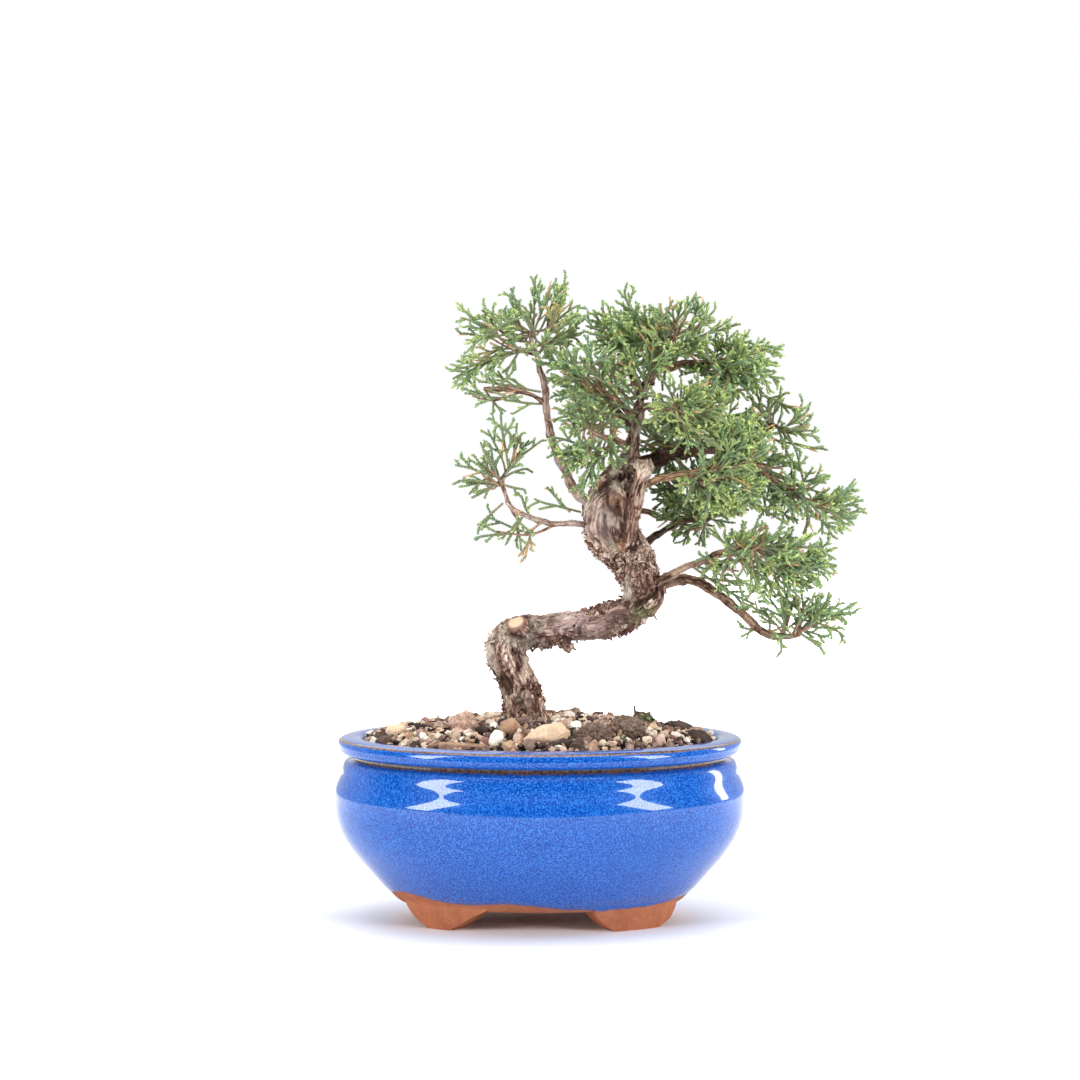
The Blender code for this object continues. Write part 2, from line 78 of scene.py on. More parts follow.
def mixColour(tree, factor, first, second, blend="MIX"):
    made = setNode(tree, "ShaderNodeMix", data_type="RGBA", blend_type=blend)
    for index, value in ((0, factor), (6, first), (7, second)):
        if isinstance(value, tuple) and len(value) == 3:
            value = (*value, 1)
        plug(tree, made.inputs[index], value)
    return made.outputs[2]


def mathNode(tree, operation, first, second=0.0, third=0.0, clamp=False):
    made = setNode(tree, "ShaderNodeMath", operation=operation, use_clamp=clamp)
    for index, value in enumerate((first, second, third)):
        plug(tree, made.inputs[index], value)
    return made.outputs[0]


def ramp(tree, factor, stops):
    made = setNode(tree, "ShaderNodeValToRGB", {"Fac": factor})
    made.color_ramp.interpolation = "LINEAR"
    while len(made.color_ramp.elements) < len(stops):
        made.color_ramp.elements.new(0.5)
    for element, (place, colour) in zip(made.color_ramp.elements, stops):
        element.position = place
        element.color = (*colour, 1) if isinstance(colour, tuple) else (colour, colour, colour, 1)
    return made.outputs["Color"]


def attribute(tree, name):
    return setNode(tree, "ShaderNodeAttribute", attribute_name=name).outputs["Fac"]


def objectCoords(tree, scale=(1, 1, 1)):
    coords = setNode(tree, "ShaderNodeTexCoord").outputs["Object"]
    return setNode(tree, "ShaderNodeMapping", {"Vector": coords, "Scale": scale}).outputs["Vector"]


def noiseAt(tree, vector, scale, detail=3.0, roughness=0.55):
    inputs = {"Vector": vector, "Scale": scale, "Detail": detail, "Roughness": roughness}
    return setNode(tree, "ShaderNodeTexNoise", inputs).outputs["Fac"]


def bump(tree, height, strength, distance):
    return setNode(tree, "ShaderNodeBump",
                   {"Height": height, "Strength": strength, "Distance": distance}).outputs["Normal"]


def newMaterial(name, roughness, specular=0.5):
    material = bpy.data.materials.new(name)
    material.use_nodes = True
    tree = material.node_tree
    shader = tree.nodes["Principled BSDF"]
    shader.inputs["Roughness"].default_value = roughness
    shader.inputs["Specular IOR Level"].default_value = specular
    return material, tree, shader


def finishShader(tree, shader, colour, height, strength, distance):
    plug(tree, shader.inputs["Base Color"], colour)
    plug(tree, shader.inputs["Normal"], bump(tree, height, strength, distance))


def mottleGroup():
    # grain of stone, clay and bark: a mask of patches, a mask of specks and a height for bumps
    group = bpy.data.node_groups.new("mottle", "ShaderNodeTree")
    group.interface.new_socket("Vector", in_out="INPUT", socket_type="NodeSocketVector")
    for name in ("Patches", "Specks"):
        group.interface.new_socket(name, in_out="INPUT", socket_type="NodeSocketFloat")
    for name in ("Patch Mask", "Speck Mask", "Height"):
        group.interface.new_socket(name, in_out="OUTPUT", socket_type="NodeSocketFloat")
    given = group.nodes.new("NodeGroupInput").outputs
    result = group.nodes.new("NodeGroupOutput").inputs
    patches = noiseAt(group, given["Vector"], given["Patches"], 4.0, 0.6)
    specks = noiseAt(group, given["Vector"], given["Specks"], 2.0, 0.7)
    group.links.new(ramp(group, patches, [(0.36, 0.0), (0.64, 1.0)]), result["Patch Mask"])
    group.links.new(ramp(group, specks, [(0.52, 0.0), (0.66, 1.0)]), result["Speck Mask"])
    group.links.new(mathNode(group, "MULTIPLY_ADD", specks, 0.6, patches), result["Height"])
    return group


mottle = mottleGroup()


def addMottle(tree, vector, patches, specks):
    made = setNode(tree, "ShaderNodeGroup", node_tree=mottle)
    for name, value in (("Vector", vector), ("Patches", patches), ("Specks", specks)):
        plug(tree, made.inputs[name], value)
    return made.outputs


def addObject(name, data):
    made = bpy.data.objects.new(name, data)
    bpy.context.scene.collection.objects.link(made)
    return made


def addPiece(name, mesh, material, slotName, *nodes):
    piece = addObject(name, mesh)
    mesh.materials.clear()
    mesh.materials.append(material)
    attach(piece, "root")
    if nodes:
        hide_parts(*nodes)
    return piece


def meshFrom(name, bm, sharpAbove=None):
    bmesh.ops.recalc_face_normals(bm, faces=bm.faces)
    mesh = bpy.data.meshes.new(name)
    bm.to_mesh(mesh)
    bm.free()
    if sharpAbove is not None:
        mesh.shade_smooth()
        mesh.set_sharp_from_angle(angle=math.radians(sharpAbove))
    return mesh


def setAttribute(mesh, name, values):
    layer = mesh.attributes.new(name, "FLOAT", "POINT")
    layer.data.foreach_set("value", np.asarray(values, dtype=np.float32))


def setGrain(mesh, places):
    # where each point lies across and along its limb, in millimetres
    layer = mesh.attributes.new("grain", "FLOAT_VECTOR", "POINT")
    layer.data.foreach_set("vector", np.asarray(places, dtype=np.float32).ravel())


def meshOf(holder):
    # the mesh an object ends up with, and the object gone
    graph = bpy.context.evaluated_depsgraph_get()
    result = bpy.data.meshes.new_from_object(holder.evaluated_get(graph))
    bpy.data.objects.remove(holder)
    return result


def withModifiers(name, mesh, *modifiers):
    # the mesh as these modifiers leave it
    holder = addObject(name, mesh)
    for kind, settings in modifiers:
        modifier = holder.modifiers.new(kind, kind)
        for key, value in settings.items():
            setattr(modifier, key, value)
    result = meshOf(holder)
    result.name = name
    return result


def tubeMesh(name, tubes, sides=1, values=None):
    # one closed mesh of many round cords; each tube is a list of (point, radius, twist),
    # and values holds, for each attribute, a list of numbers along each tube
    curve = bpy.data.curves.new(name, "CURVE")
    curve.dimensions = "3D"
    curve.bevel_depth = 1.0
    curve.bevel_resolution = sides
    curve.use_fill_caps = True
    for tube in tubes:
        spline = curve.splines.new("POLY")
        spline.points.add(len(tube) - 1)
        spline.points.foreach_set("co", [c for point, _, _ in tube for c in (*point, 1.0)])
        spline.points.foreach_set("radius", [radius for _, radius, _ in tube])
        spline.points.foreach_set("tilt", [twist for _, _, twist in tube])
    mesh = meshOf(addObject(name, curve))
    around = len(mesh.vertices) // (sum(len(tube) for tube in tubes) + 2 * len(tubes))
    for key, along in (values or {}).items():
        # the end caps come first, from the last tube to the first
        caps = [v for row in reversed(along) for v in (row[-1], row[0])]
        setAttribute(mesh, key, np.repeat(np.array(caps + [v for row in along for v in row]), around))
    bm = bmesh.new()
    bm.from_mesh(mesh)
    bmesh.ops.remove_doubles(bm, verts=bm.verts, dist=0.0001)
    bmesh.ops.recalc_face_normals(bm, faces=bm.faces)
    bm.to_mesh(mesh)
    bm.free()
    return mesh


def smoothPath(stations, perSpan):
    # points of a Catmull-Rom curve through stations of x, y, z and radius
    given = [Vector(station) for station in stations]
    ends = [given[0] * 2 - given[1], *given, given[-1] * 2 - given[-2]]
    path = []
    for a, b, c, d in zip(ends, ends[1:], ends[2:], ends[3:]):
        for step in range(perSpan):
            t = step / perSpan
            path.append(0.5 * (2 * b + (c - a) * t + (2 * a - 5 * b + 4 * c - d) * t * t
                               + (3 * b - a - 3 * c + d) * t * t * t))
    return [*path, given[-1]]


def evenPath(stations, step):
    # the same curve with points a fixed step apart
    rough = smoothPath(stations, 12)
    path, carried = [rough[0].copy()], 0.0
    for a, b in zip(rough, rough[1:]):
        span = (b.xyz - a.xyz).length
        while carried + step <= span:
            carried += step
            path.append(a.lerp(b, carried / span))
        carried -= span
    path.append(rough[-1].copy())
    return path


# The pot.

pot = {
    "lipHalf": ((potHigh[0] - potLow[0]) / 2 - 0.0007, (potHigh[1] - potLow[1]) / 2 - 0.0007),
    "footHeight": 0.0090,
    "baseInset": 0.0197,
    "floor": 0.0055,
    "wall": 0.0055,
    "lipWidth": 0.0095,
    "sides": 176,
    "holeRadius": 0.0065,
    "holeSpacing": 0.050,
    "bevel": 0.0034,  # height of the bevel round the base
    "bellyProud": 0.0022,
    "bellyBelow": 0.0236,  # the widest level, below the crest
    # from the belly over the lip, as inset and depth below the crest in millimetres: curves of four points
    # with their number of steps, and plain points
    "outside": [
        (16, (-2.2, 23.6), (-2.2, 20.6), (-0.5, 18.0), (0.6, 15.0)),
        (10, (0.6, 15.0), (1.1, 13.6), (1.1, 11.4), (2.6, 9.6)),
        (0, (3.8, 9.1), (4.9, 8.7), (5.5, 8.3), (5.5, 7.6)),
        (9, (4.8, 7.2), (3.0, 7.0), (0.2, 6.8), (-0.4, 4.4)),  # the groove's roof, round under the lip
        (0, (-0.4, 3.4)),
        (8, (-0.4, 2.7), (-0.3, 1.3), (0.7, 0.6), (2.2, 0.3)),
        (0, (3.2, 0.2), (4.8, 0.1), (6.5, 0.0)),
        (5, (6.5, 0.0), (8.0, 0.1), (9.3, 0.6), (9.5, 2.2)),
    ],
    # the glaze's lower edge: degrees round the base and its height in millimetres, higher over the feet
    "glazeEdge": [(-180, 10.0), (-160, 13.2), (-148, 14.6), (-140, 13.8), (-129, 11.7), (-117, 11.3),
                  (-103, 12.4), (-93, 11.6), (-80, 9.7), (-66, 9.0), (-45, 9.2), (-30, 10.2), (-12, 11.8),
                  (8, 12.2), (24, 13.4), (40, 12.2), (62, 10.6), (90, 11.2), (112, 10.2), (134, 12.6),
                  (150, 13.6), (168, 11.2), (180, 10.0)],
    # a foot's section on its way down: share of the foot's height and how far it is drawn in
    "footLevels": [(1.3, 0), (1.0, 0.0), (0.90, 0.10), (0.75, 0.26), (0.6, 0.41), (0.45, 0.55), (0.3, 0.70),
                   (0.17, 0.83), (0.08, 0.92), (0.02, 0.97), (0, 1)],
    "glaze": [(0.42, (0.0, 0.024, 0.23)), (0.50, (0.001, 0.074, 0.41)), (0.58, (0.036, 0.200, 0.64))],
    "clay": (0.44, 0.155, 0.075),
    "darkClay": (0.34, 0.115, 0.058),
    "paleClay": (0.60, 0.27, 0.16),
}


def ovalRing(bm, inset, z, sides=None):
    # an edge loop of the pot's plan, the same distance inside the lip's edge all the way round
    a, b = pot["lipHalf"]
    place = Matrix.Translation((potX, potY, z)) @ Matrix.Diagonal((a - inset, b - inset, 1, 1))
    made = bmesh.ops.create_circle(bm, segments=sides or pot["sides"], radius=1, matrix=place)
    return list({edge for vert in made["verts"] for edge in vert.link_edges})


def bridgeRings(bm, rings, capEnds=False):
    for lower, upper in zip(rings, rings[1:]):
        bmesh.ops.bridge_loops(bm, edges=lower + upper)
    if capEnds:
        for ring in (rings[0], rings[-1]):
            bmesh.ops.contextual_create(bm, geom=ring)


def bezier(p0, p1, p2, p3, steps):
    found = []
    for i in range(1, steps + 1):
        t = i / steps
        weights = ((1 - t) ** 3, 3 * t * (1 - t) ** 2, 3 * t * t * (1 - t), t ** 3)
        found.append(tuple(sum(w * p[k] for w, p in zip(weights, (p0, p1, p2, p3))) for k in (0, 1)))
    return found


def potProfile():
    # (inset, height) from the base up the outside, over the lip and down the inside to the floor
    base, foot, proud = pot["baseInset"], pot["footHeight"], -pot["bellyProud"]
    bevelTop, belly = foot + pot["bevel"], crest - pot["bellyBelow"]
    drop = belly - bevelTop
    points = [(base + 0.0046, foot - 0.0006), (base + 0.0040, foot - 0.0004), (base + 0.0030, foot + 0.0003),
              (base + 0.0008, bevelTop - 0.0009), (base, bevelTop - 0.0003)]
    points += bezier((base - 0.0006, bevelTop), (base * 0.36, bevelTop + drop * 0.36),
                     (proud, belly - drop * 0.44), (proud, belly), 22)
    for steps, *row in pot["outside"]:
        row = [(inset * mm, crest - below * mm) for inset, below in row]
        points += bezier(*row, steps) if steps else row
    inside = (pot["lipWidth"] - 0.002, crest * 0.72)
    points += bezier(points[-1], inside, (0.0085, crest * 0.35),
                     (base + pot["wall"], foot + pot["floor"]), 14)
    return points


def footBody(name, sideX, sideY):
    # a bracket under the base's edge, wide at its root and narrowing to a flat sole; the two ends differ
    a, b = pot["lipHalf"]
    bm = bmesh.new()
    rings = []
    for height, drawnIn in pot["footLevels"]:
        if sideX < 0:
            first, last = 23 + 14 * drawnIn ** 1.6, 68.4 - 18.4 * drawnIn
        else:
            first, last = 20 + 12 * drawnIn ** 3.0, 68.0 - 10.4 * drawnIn ** 1.7
        front = pot["baseInset"] + 0.0028 + 0.0022 * drawnIn
        back = front + 0.014 - 0.005 * drawnIn
        turns = [math.radians(first + (last - first) * i / 26) for i in range(27)]
        outline = [(front, t) for t in turns]
        outline += [(front + (back - front) * k / 6, turns[-1]) for k in range(1, 6)]
        outline += [(back, t) for t in reversed(turns)]
        outline += [(back + (front - back) * k / 6, turns[0]) for k in range(1, 6)]
        z = pot["footHeight"] * height
        verts = [bm.verts.new((potX + sideX * (a - inset) * math.cos(t),
                               potY + sideY * (b - inset) * math.sin(t), z)) for inset, t in outline]
        rings.append([bm.edges.new((verts[i - 1], verts[i])) for i in range(len(verts))])
    bridgeRings(bm, rings, capEnds=True)
    return meshFrom(name, bm)


def glazeLine(x, y):
    a, b = pot["lipHalf"]
    turn = math.degrees(math.atan2(y / (b - pot["baseInset"]), x / (a - pot["baseInset"])))
    level = float(np.interp(turn, *zip(*pot["glazeEdge"]))) * mm
    return level + noise.noise(Vector((x, y, 0)) * 160) * 0.0004


def glazeMaterial():
    material, tree, shader = newMaterial("cobalt_glaze", 0.3, 0.10)
    coords = objectCoords(tree)
    streaked = objectCoords(tree, (1, 1, 0.25))
    speck = noiseAt(tree, coords, 1500, 2.0, 0.8)
    cloud = noiseAt(tree, streaked, 55, 4.0)
    blue = ramp(tree, speck, pot["glaze"])
    blue = mixColour(tree, mathNode(tree, "MULTIPLY", cloud, 0.5), blue, (0.006, 0.105, 0.48))
    dark = ramp(tree, noiseAt(tree, coords, 620, 2.0), [(0.68, 0.0), (0.74, 0.7)])
    blue = mixColour(tree, dark, blue, (0.004, 0.012, 0.05))
    worn = mathNode(tree, "MULTIPLY_ADD", noiseAt(tree, coords, 420, 3.0), 0.9, -0.45)
    # brown where the glaze is worn through on the lip's edges; in the groove under the lip the same brown is
    # partly thin glaze and partly painted shade
    breakAndShade = mathNode(tree, "ADD", attribute(tree, "wearAndGrooveShade"), worn)
    breakAndShade = ramp(tree, breakAndShade, [(0.38, 0.0), (0.72, 1.0)])
    brown = ramp(tree, noiseAt(tree, coords, 900), [(0.35, (0.05, 0.032, 0.030)), (0.7, (0.26, 0.16, 0.12))])
    blue = mixColour(tree, breakAndShade, blue, brown)
    grain = addMottle(tree, coords, 180.0, 1900.0)
    clay = mixColour(tree, grain["Patch Mask"], pot["clay"], pot["darkClay"])
    clay = mixColour(tree, mathNode(tree, "MULTIPLY", grain["Speck Mask"], 0.45), clay, pot["paleClay"])
    edge = mathNode(tree, "MULTIPLY_ADD", noiseAt(tree, coords, 700, 2.0), 0.9, -0.45)
    above = mathNode(tree, "ADD", attribute(tree, "aboveLine"), edge)  # millimetres above the glaze's edge
    glazed = ramp(tree, mathNode(tree, "MULTIPLY_ADD", above, 1.2, 0.5, clamp=True), [(0.3, 0.0), (0.7, 1.0)])
    thin = ramp(tree, mathNode(tree, "MULTIPLY_ADD", above, 0.5, 0.0, clamp=True), [(0.0, 0.65), (0.6, 0.0)])
    blue = mixColour(tree, thin, blue, (0.10, 0.07, 0.09))
    plug(tree, shader.inputs["Roughness"], mathNode(tree, "MULTIPLY_ADD", glazed, -0.62, 0.88))
    plug(tree, shader.inputs["Coat Weight"], glazed)
    shader.inputs["Coat Roughness"].default_value = 0.035
    shader.inputs["Coat IOR"].default_value = 1.46
    dimple = mathNode(tree, "MULTIPLY_ADD", speck, 0.3, noiseAt(tree, coords, 230, 2.0))
    rough = mathNode(tree, "MULTIPLY", grain["Height"], mathNode(tree, "SUBTRACT", 1.0, glazed))
    height = mathNode(tree, "ADD", mathNode(tree, "MULTIPLY", dimple, 0.25), rough)
    finishShader(tree, shader, mixColour(tree, glazed, clay, blue), height, 0.35, 0.0003)
    return material


def makePot():
    bm = bmesh.new()
    bridgeRings(bm, [ovalRing(bm, inset, z) for inset, z in potProfile()], capEnds=True)
    for vert in bm.verts:  # thrown and trimmed by hand, so nothing is quite even
        sway = noise.noise(Vector(vert.co) * 22) * 0.00025
        vert.co.x += sway
        vert.co.y += noise.noise(Vector(vert.co) * 22 + Vector((9, 9, 9))) * 0.00022
    body = meshFrom("pot_body", bm, 50)
    tools = []
    for sideX, sideY in ((-1, -1), (1, -1), (-1, 1), (1, 1)):
        tools.append(("UNION", addObject("foot", footBody("foot", sideX, sideY))))
    for x in (-0.5, 0.5):
        bm = bmesh.new()
        place = Matrix.Translation((potX + x * pot["holeSpacing"], potY, 0.012))
        bmesh.ops.create_cone(bm, cap_ends=True, segments=48, radius1=pot["holeRadius"],
                              radius2=pot["holeRadius"], depth=0.02, matrix=place)
        tools.append(("DIFFERENCE", addObject("hole", meshFrom("hole", bm))))
    mesh = withModifiers("pot_glazed", body, *[("BOOLEAN", {"operation": kind, "solver": "EXACT", "object": tool})
                                               for kind, tool in tools])
    for _, tool in tools:
        bpy.data.objects.remove(tool)
    above, wearAndGrooveShade = [], []
    for vert in mesh.vertices:
        x, y, z = vert.co.x - potX, vert.co.y - potY, vert.co.z
        inBowl = (x / 0.057) ** 2 + (y / 0.037) ** 2 < 1
        inside = inBowl and pot["footHeight"] + 0.004 < z < crest - 0.012
        above.append(-4.0 if inside else max(-6.0, min(6.0, (z - glazeLine(x, y)) * 1000)))
        a, b = pot["lipHalf"]
        lipInset = (1 - math.sqrt((x / a) ** 2 + (y / b) ** 2)) * (a + b) / 2
        # wear on the lip's outer and inner edges, and the groove under the lip darkened, partly as thin glaze and
        # partly as painted shade
        edge = math.exp(-((z - crest + 0.0009) / 0.0006) ** 2) * math.exp(-(lipInset / 0.0018) ** 2)
        groove = math.exp(-((z - crest + 0.0080) / 0.0011) ** 2)
        innerEdge = 0.35 * math.exp(-((z - crest + 0.0016) / 0.0008) ** 2) if lipInset > 0.007 else 0.0
        wearAndGrooveShade.append(min(1.0, edge * 1.1 + groove * 0.95 + innerEdge))
    setAttribute(mesh, "aboveLine", above)
    setAttribute(mesh, "wearAndGrooveShade", wearAndGrooveShade)
    mesh.shade_smooth()
    mesh.set_sharp_from_angle(angle=math.radians(48))
    addPiece("pot_glazed", mesh, glazeMaterial(), "glaze", "pot")


print("pot")
makePot()


# Soil, grit and stones.

soil = {
    "belowCrest": 0.0020,
    "mound": 0.0085,
    # how many, smallest, largest, how far apart and how proud of the soil
    "grit": [(130, 0.0046, 0.0068, 0.76, 0.20), (640, 0.0030, 0.0046, 0.66, 0.28),
             (1150, 0.0013, 0.0030, 0.55, 0.5)],
    # share of the grit, and slot
    "kinds": {"cream": (0.25, "pale_stone"), "tan": (0.15, "tan_stone"), "rose": (0.17, "red_stone"),
              "umber": (0.13, "red_stone"), "crumbly": (0.13, "soil"), "dark": (0.20, "bark"),
              "moss": (0.02, "foliage")},
    "seed": 11,
    "treeX": -0.005,  # where the trunk leaves the soil, from the pot's centre
}
mouth = tuple(half - pot["lipWidth"] for half in pot["lipHalf"])


def soilTop(x, y):
    # height of the soil at a place measured from the pot's centre
    out = min(1.0, (x / mouth[0]) ** 2 + (y / mouth[1]) ** 2)
    return crest - soil["belowCrest"] + soil["mound"] * (1 - out) ** 0.9


collar = Vector((potX + soil["treeX"], potY, soilTop(soil["treeX"], 0)))
treePlace = Matrix.Translation(collar) @ Matrix.Scale(mm, 4)


def stoneMaterial(name, dark, mid, pale, patches=260.0, specks=1500.0, bumpDepth=0.0004):
    # a crushed stone or clay whose pieces differ from each other by the attribute tone
    material, tree, shader = newMaterial(name, 0.9, 0.25)
    coords = objectCoords(tree)
    grain = addMottle(tree, coords, patches, specks)
    tone = attribute(tree, "tone")
    shade = mathNode(tree, "MULTIPLY_ADD", mathNode(tree, "SUBTRACT", grain["Patch Mask"], 0.5), 0.35, tone)
    colour = ramp(tree, shade, [(0.0, dark), (0.45, mid), (1.0, pale)])
    colour = mixColour(tree, mathNode(tree, "MULTIPLY", grain["Speck Mask"], 0.45), colour,
                       tuple(c * 0.35 for c in mid))
    finishShader(tree, shader, colour, grain["Height"], 0.8, bumpDepth)
    return material


stoneMaterials = {
    "cream": stoneMaterial("cream_pumice", (0.56, 0.42, 0.30), (0.80, 0.68, 0.54), (0.95, 0.90, 0.82)),
    "tan": stoneMaterial("tan_clay", (0.34, 0.20, 0.13), (0.58, 0.39, 0.25), (0.80, 0.60, 0.42)),
    "rose": stoneMaterial("rose_lava", (0.20, 0.10, 0.08), (0.44, 0.27, 0.21), (0.70, 0.50, 0.40)),
    "crumbly": stoneMaterial("crumbly_clay", (0.045, 0.030, 0.025), (0.20, 0.135, 0.105), (0.58, 0.44, 0.34),
                             patches=620.0, specks=1900.0, bumpDepth=0.0007),
    "timber": stoneMaterial("bark_timber", (0.12, 0.06, 0.04), (0.34, 0.20, 0.13), (0.62, 0.45, 0.32),
                            patches=420.0),
    "umber": stoneMaterial("umber_lava", (0.07, 0.045, 0.038), (0.20, 0.13, 0.11), (0.36, 0.25, 0.21)),
    "dark": stoneMaterial("dark_bark", (0.018, 0.012, 0.012), (0.055, 0.036, 0.032), (0.14, 0.09, 0.07)),
    "moss": stoneMaterial("mossy_bits", (0.05, 0.07, 0.03), (0.19, 0.25, 0.11), (0.50, 0.60, 0.33)),
}


def chunkShape(chance, corners, size):
    # an angular crushed bit: the hull of a few points
    bm = bmesh.new()
    for _ in range(corners):
        point = Vector((chance.gauss(0, 1), chance.gauss(0, 1), chance.gauss(0, 1))).normalized()
        bm.verts.new([c * s * chance.uniform(0.82, 1.0) / 2 for c, s in zip(point, size)])
    made = bmesh.ops.convex_hull(bm, input=bm.verts)
    inner = [v for v in made["geom_interior"] if isinstance(v, bmesh.types.BMVert)]
    bmesh.ops.delete(bm, geom=inner, context="VERTS")
    return meshFrom("chunk", bm)


def lumpShape(chance, size):
    # a rounder, rougher bit
    bm = bmesh.new()
    bmesh.ops.create_icosphere(bm, subdivisions=2, radius=0.5)
    offset = Vector((chance.uniform(0, 50), chance.uniform(0, 50), 0))
    for vert in bm.verts:
        swell = 1 + 0.55 * noise.noise(vert.co * 3.2 + offset) + chance.uniform(-0.17, 0.12)
        vert.co = Vector(c * s for c, s in zip(vert.co * swell, size))
    return meshFrom("lump", bm, 24)


def joinBits(name, places, shapes, toneName):
    # many small bits as one mesh; each place is (matrix, index of its shape, tone)
    bm = bmesh.new()
    tones = []
    for matrix, index, tone in places:
        bit = shapes[index].copy()
        bit.transform(matrix)
        bm.from_mesh(bit)
        tones += [tone] * len(bit.vertices)
        bpy.data.meshes.remove(bit)
    mesh = bpy.data.meshes.new(name)
    bm.to_mesh(mesh)
    bm.free()
    setAttribute(mesh, toneName, tones)
    return mesh


def scatterPiece(name, places, shapes, material, slotName):
    addPiece(name, joinBits(name, places, shapes, "tone"), material, slotName)


def turned(chance, lean=math.pi):
    axis = Vector((chance.uniform(-1, 1), chance.uniform(-1, 1), chance.uniform(-1, 1))).normalized()
    return Quaternion(axis, chance.uniform(-lean, lean)).to_matrix().to_4x4()


def makeSoil():
    chance = random.Random(soil["seed"])
    bm = bmesh.new()
    inset = pot["lipWidth"] + 0.0004
    rings = [ovalRing(bm, inset + 0.006, crest - 0.016, 120), ovalRing(bm, inset, crest - 0.012, 120)]
    for share in (0.0, 0.04, 0.09, 0.15, 0.22, 0.30, 0.38, 0.46, 0.54, 0.62, 0.70, 0.78, 0.86, 0.94):
        ring = ovalRing(bm, inset, crest, 120)
        for vert in {v for edge in ring for v in edge.verts}:
            vert.co.x = potX + (vert.co.x - potX) * (1 - share)
            vert.co.y = potY + (vert.co.y - potY) * (1 - share)
            lump = noise.noise(Vector(vert.co) * 260) * 0.0012
            vert.co.z = soilTop(vert.co.x - potX, vert.co.y - potY) - 0.0016 + lump
        rings.append(ring)
    bridgeRings(bm, rings, capEnds=True)
    mesh = meshFrom("soil_bed", bm, 60)
    # the bed under the grit is near black: painted shade for the deep gaps between the grains
    setAttribute(mesh, "tone", [0.35] * len(mesh.vertices))
    addPiece("soil_bed", mesh, stoneMaterials["dark"], "soil", "soil")

    kinds = soil["kinds"]
    shapes = []
    for _ in range(8):
        corners = chance.randint(11, 17)
        shapes.append(chunkShape(chance, corners, (1, chance.uniform(0.65, 0.95), chance.uniform(0.5, 0.85))))
    for _ in range(14):
        shapes.append(lumpShape(chance, (1, chance.uniform(0.65, 0.95), chance.uniform(0.55, 0.85))))
    splinters = [chunkShape(chance, 12, (1, chance.uniform(0.24, 0.38), chance.uniform(0.18, 0.30)))
                 for _ in range(6)]
    placed = {kind: [] for kind in kinds}
    taken = []
    for count, low, high, crowding, lift in soil["grit"]:
        made, tries = 0, 0
        while made < count and tries < count * 25:
            tries += 1
            turn, out = chance.uniform(0, 2 * math.pi), math.sqrt(chance.random())
            size = chance.uniform(low, high)
            x = math.cos(turn) * out * (mouth[0] - size * 0.5)
            y = math.sin(turn) * out * (mouth[1] - size * 0.5)
            if any((x - otherX) ** 2 + (y - otherY) ** 2 < ((size + other) * 0.5 * crowding) ** 2
                   for otherX, otherY, other in taken):
                continue
            taken.append((x, y, size))
            made += 1
            kind = chance.choices(list(kinds), [share for share, _ in kinds.values()])[0]
            index = chance.randrange(len(shapes))
            turning = turned(chance)
            if kind == "moss":
                size = min(size, 0.0026)
            if kind == "dark" and chance.random() < 0.5:
                index = len(shapes) + chance.randrange(len(splinters))
                size *= 1.5
                turning = Matrix.Rotation(chance.uniform(0, 6.3), 4, "Z") @ turned(chance, 0.35)
            z = soilTop(x, y) + size * lift * chance.uniform(0.2, 1.5) - 0.0006
            matrix = Matrix.Translation((potX + x, potY + y, z)) @ turning @ Matrix.Scale(size, 4)
            placed[kind].append((matrix, index, chance.uniform(0.05, 0.95)))
    for kind, places in placed.items():
        scatterPiece("grit_" + kind, places, shapes + splinters, stoneMaterials[kind], kinds[kind][1])


# x and y from the pot's centre, then length, width, height, turn, lean, kind, how angular it is and its tone
stones = {
    "pebble_large": (3.2, -36, 19.5, 9.5, 9, 22, -12, "tan", 0.16, 0.85),
    "pebble_olive": (-11.7, -26, 9, 7.5, 8, 10, 6, "tan", 0.45, 0.12),
    "pebble_white": (-17, -38.5, 5.6, 5, 7.4, 0, 20, "cream", 0.25, 1.0),
    "pebble_red": (-30, -18, 10, 8, 11, 30, 0, "rose", 0.9, 0.75),
    "pebble_tan": (-57, -9, 8.5, 7, 7, 15, -10, "tan", 0.35, 0.95),
    "lump_left": (21, -33, 13.5, 9, 9, 4, 0, "crumbly", 0.9, 0.42),
    "lump_right": (34, -23, 13.5, 9, 10.5, -8, 8, "crumbly", 0.9, 0.5),
    "bark_chip_long": (-32, -40.5, 25, 4.0, 3.6, -16, 0, "timber", 0.3, 0.5),
    "bark_chip_mossy": (41, 4, 8.5, 5, 7.5, 0, 12, "crumbly", 0.9, 0.3),
    "bark_chip_right": (57.5, 0, 11, 5, 6, -12, 24, "dark", 0.35, 0.7),
    "bark_chip_edge": (63, -14, 11, 5, 6, -30, 22, "dark", 0.35, 0.5),
}
nodeSlot = {row["node"]: row["material_slot"] for row in frame["record"]["subparts"]}


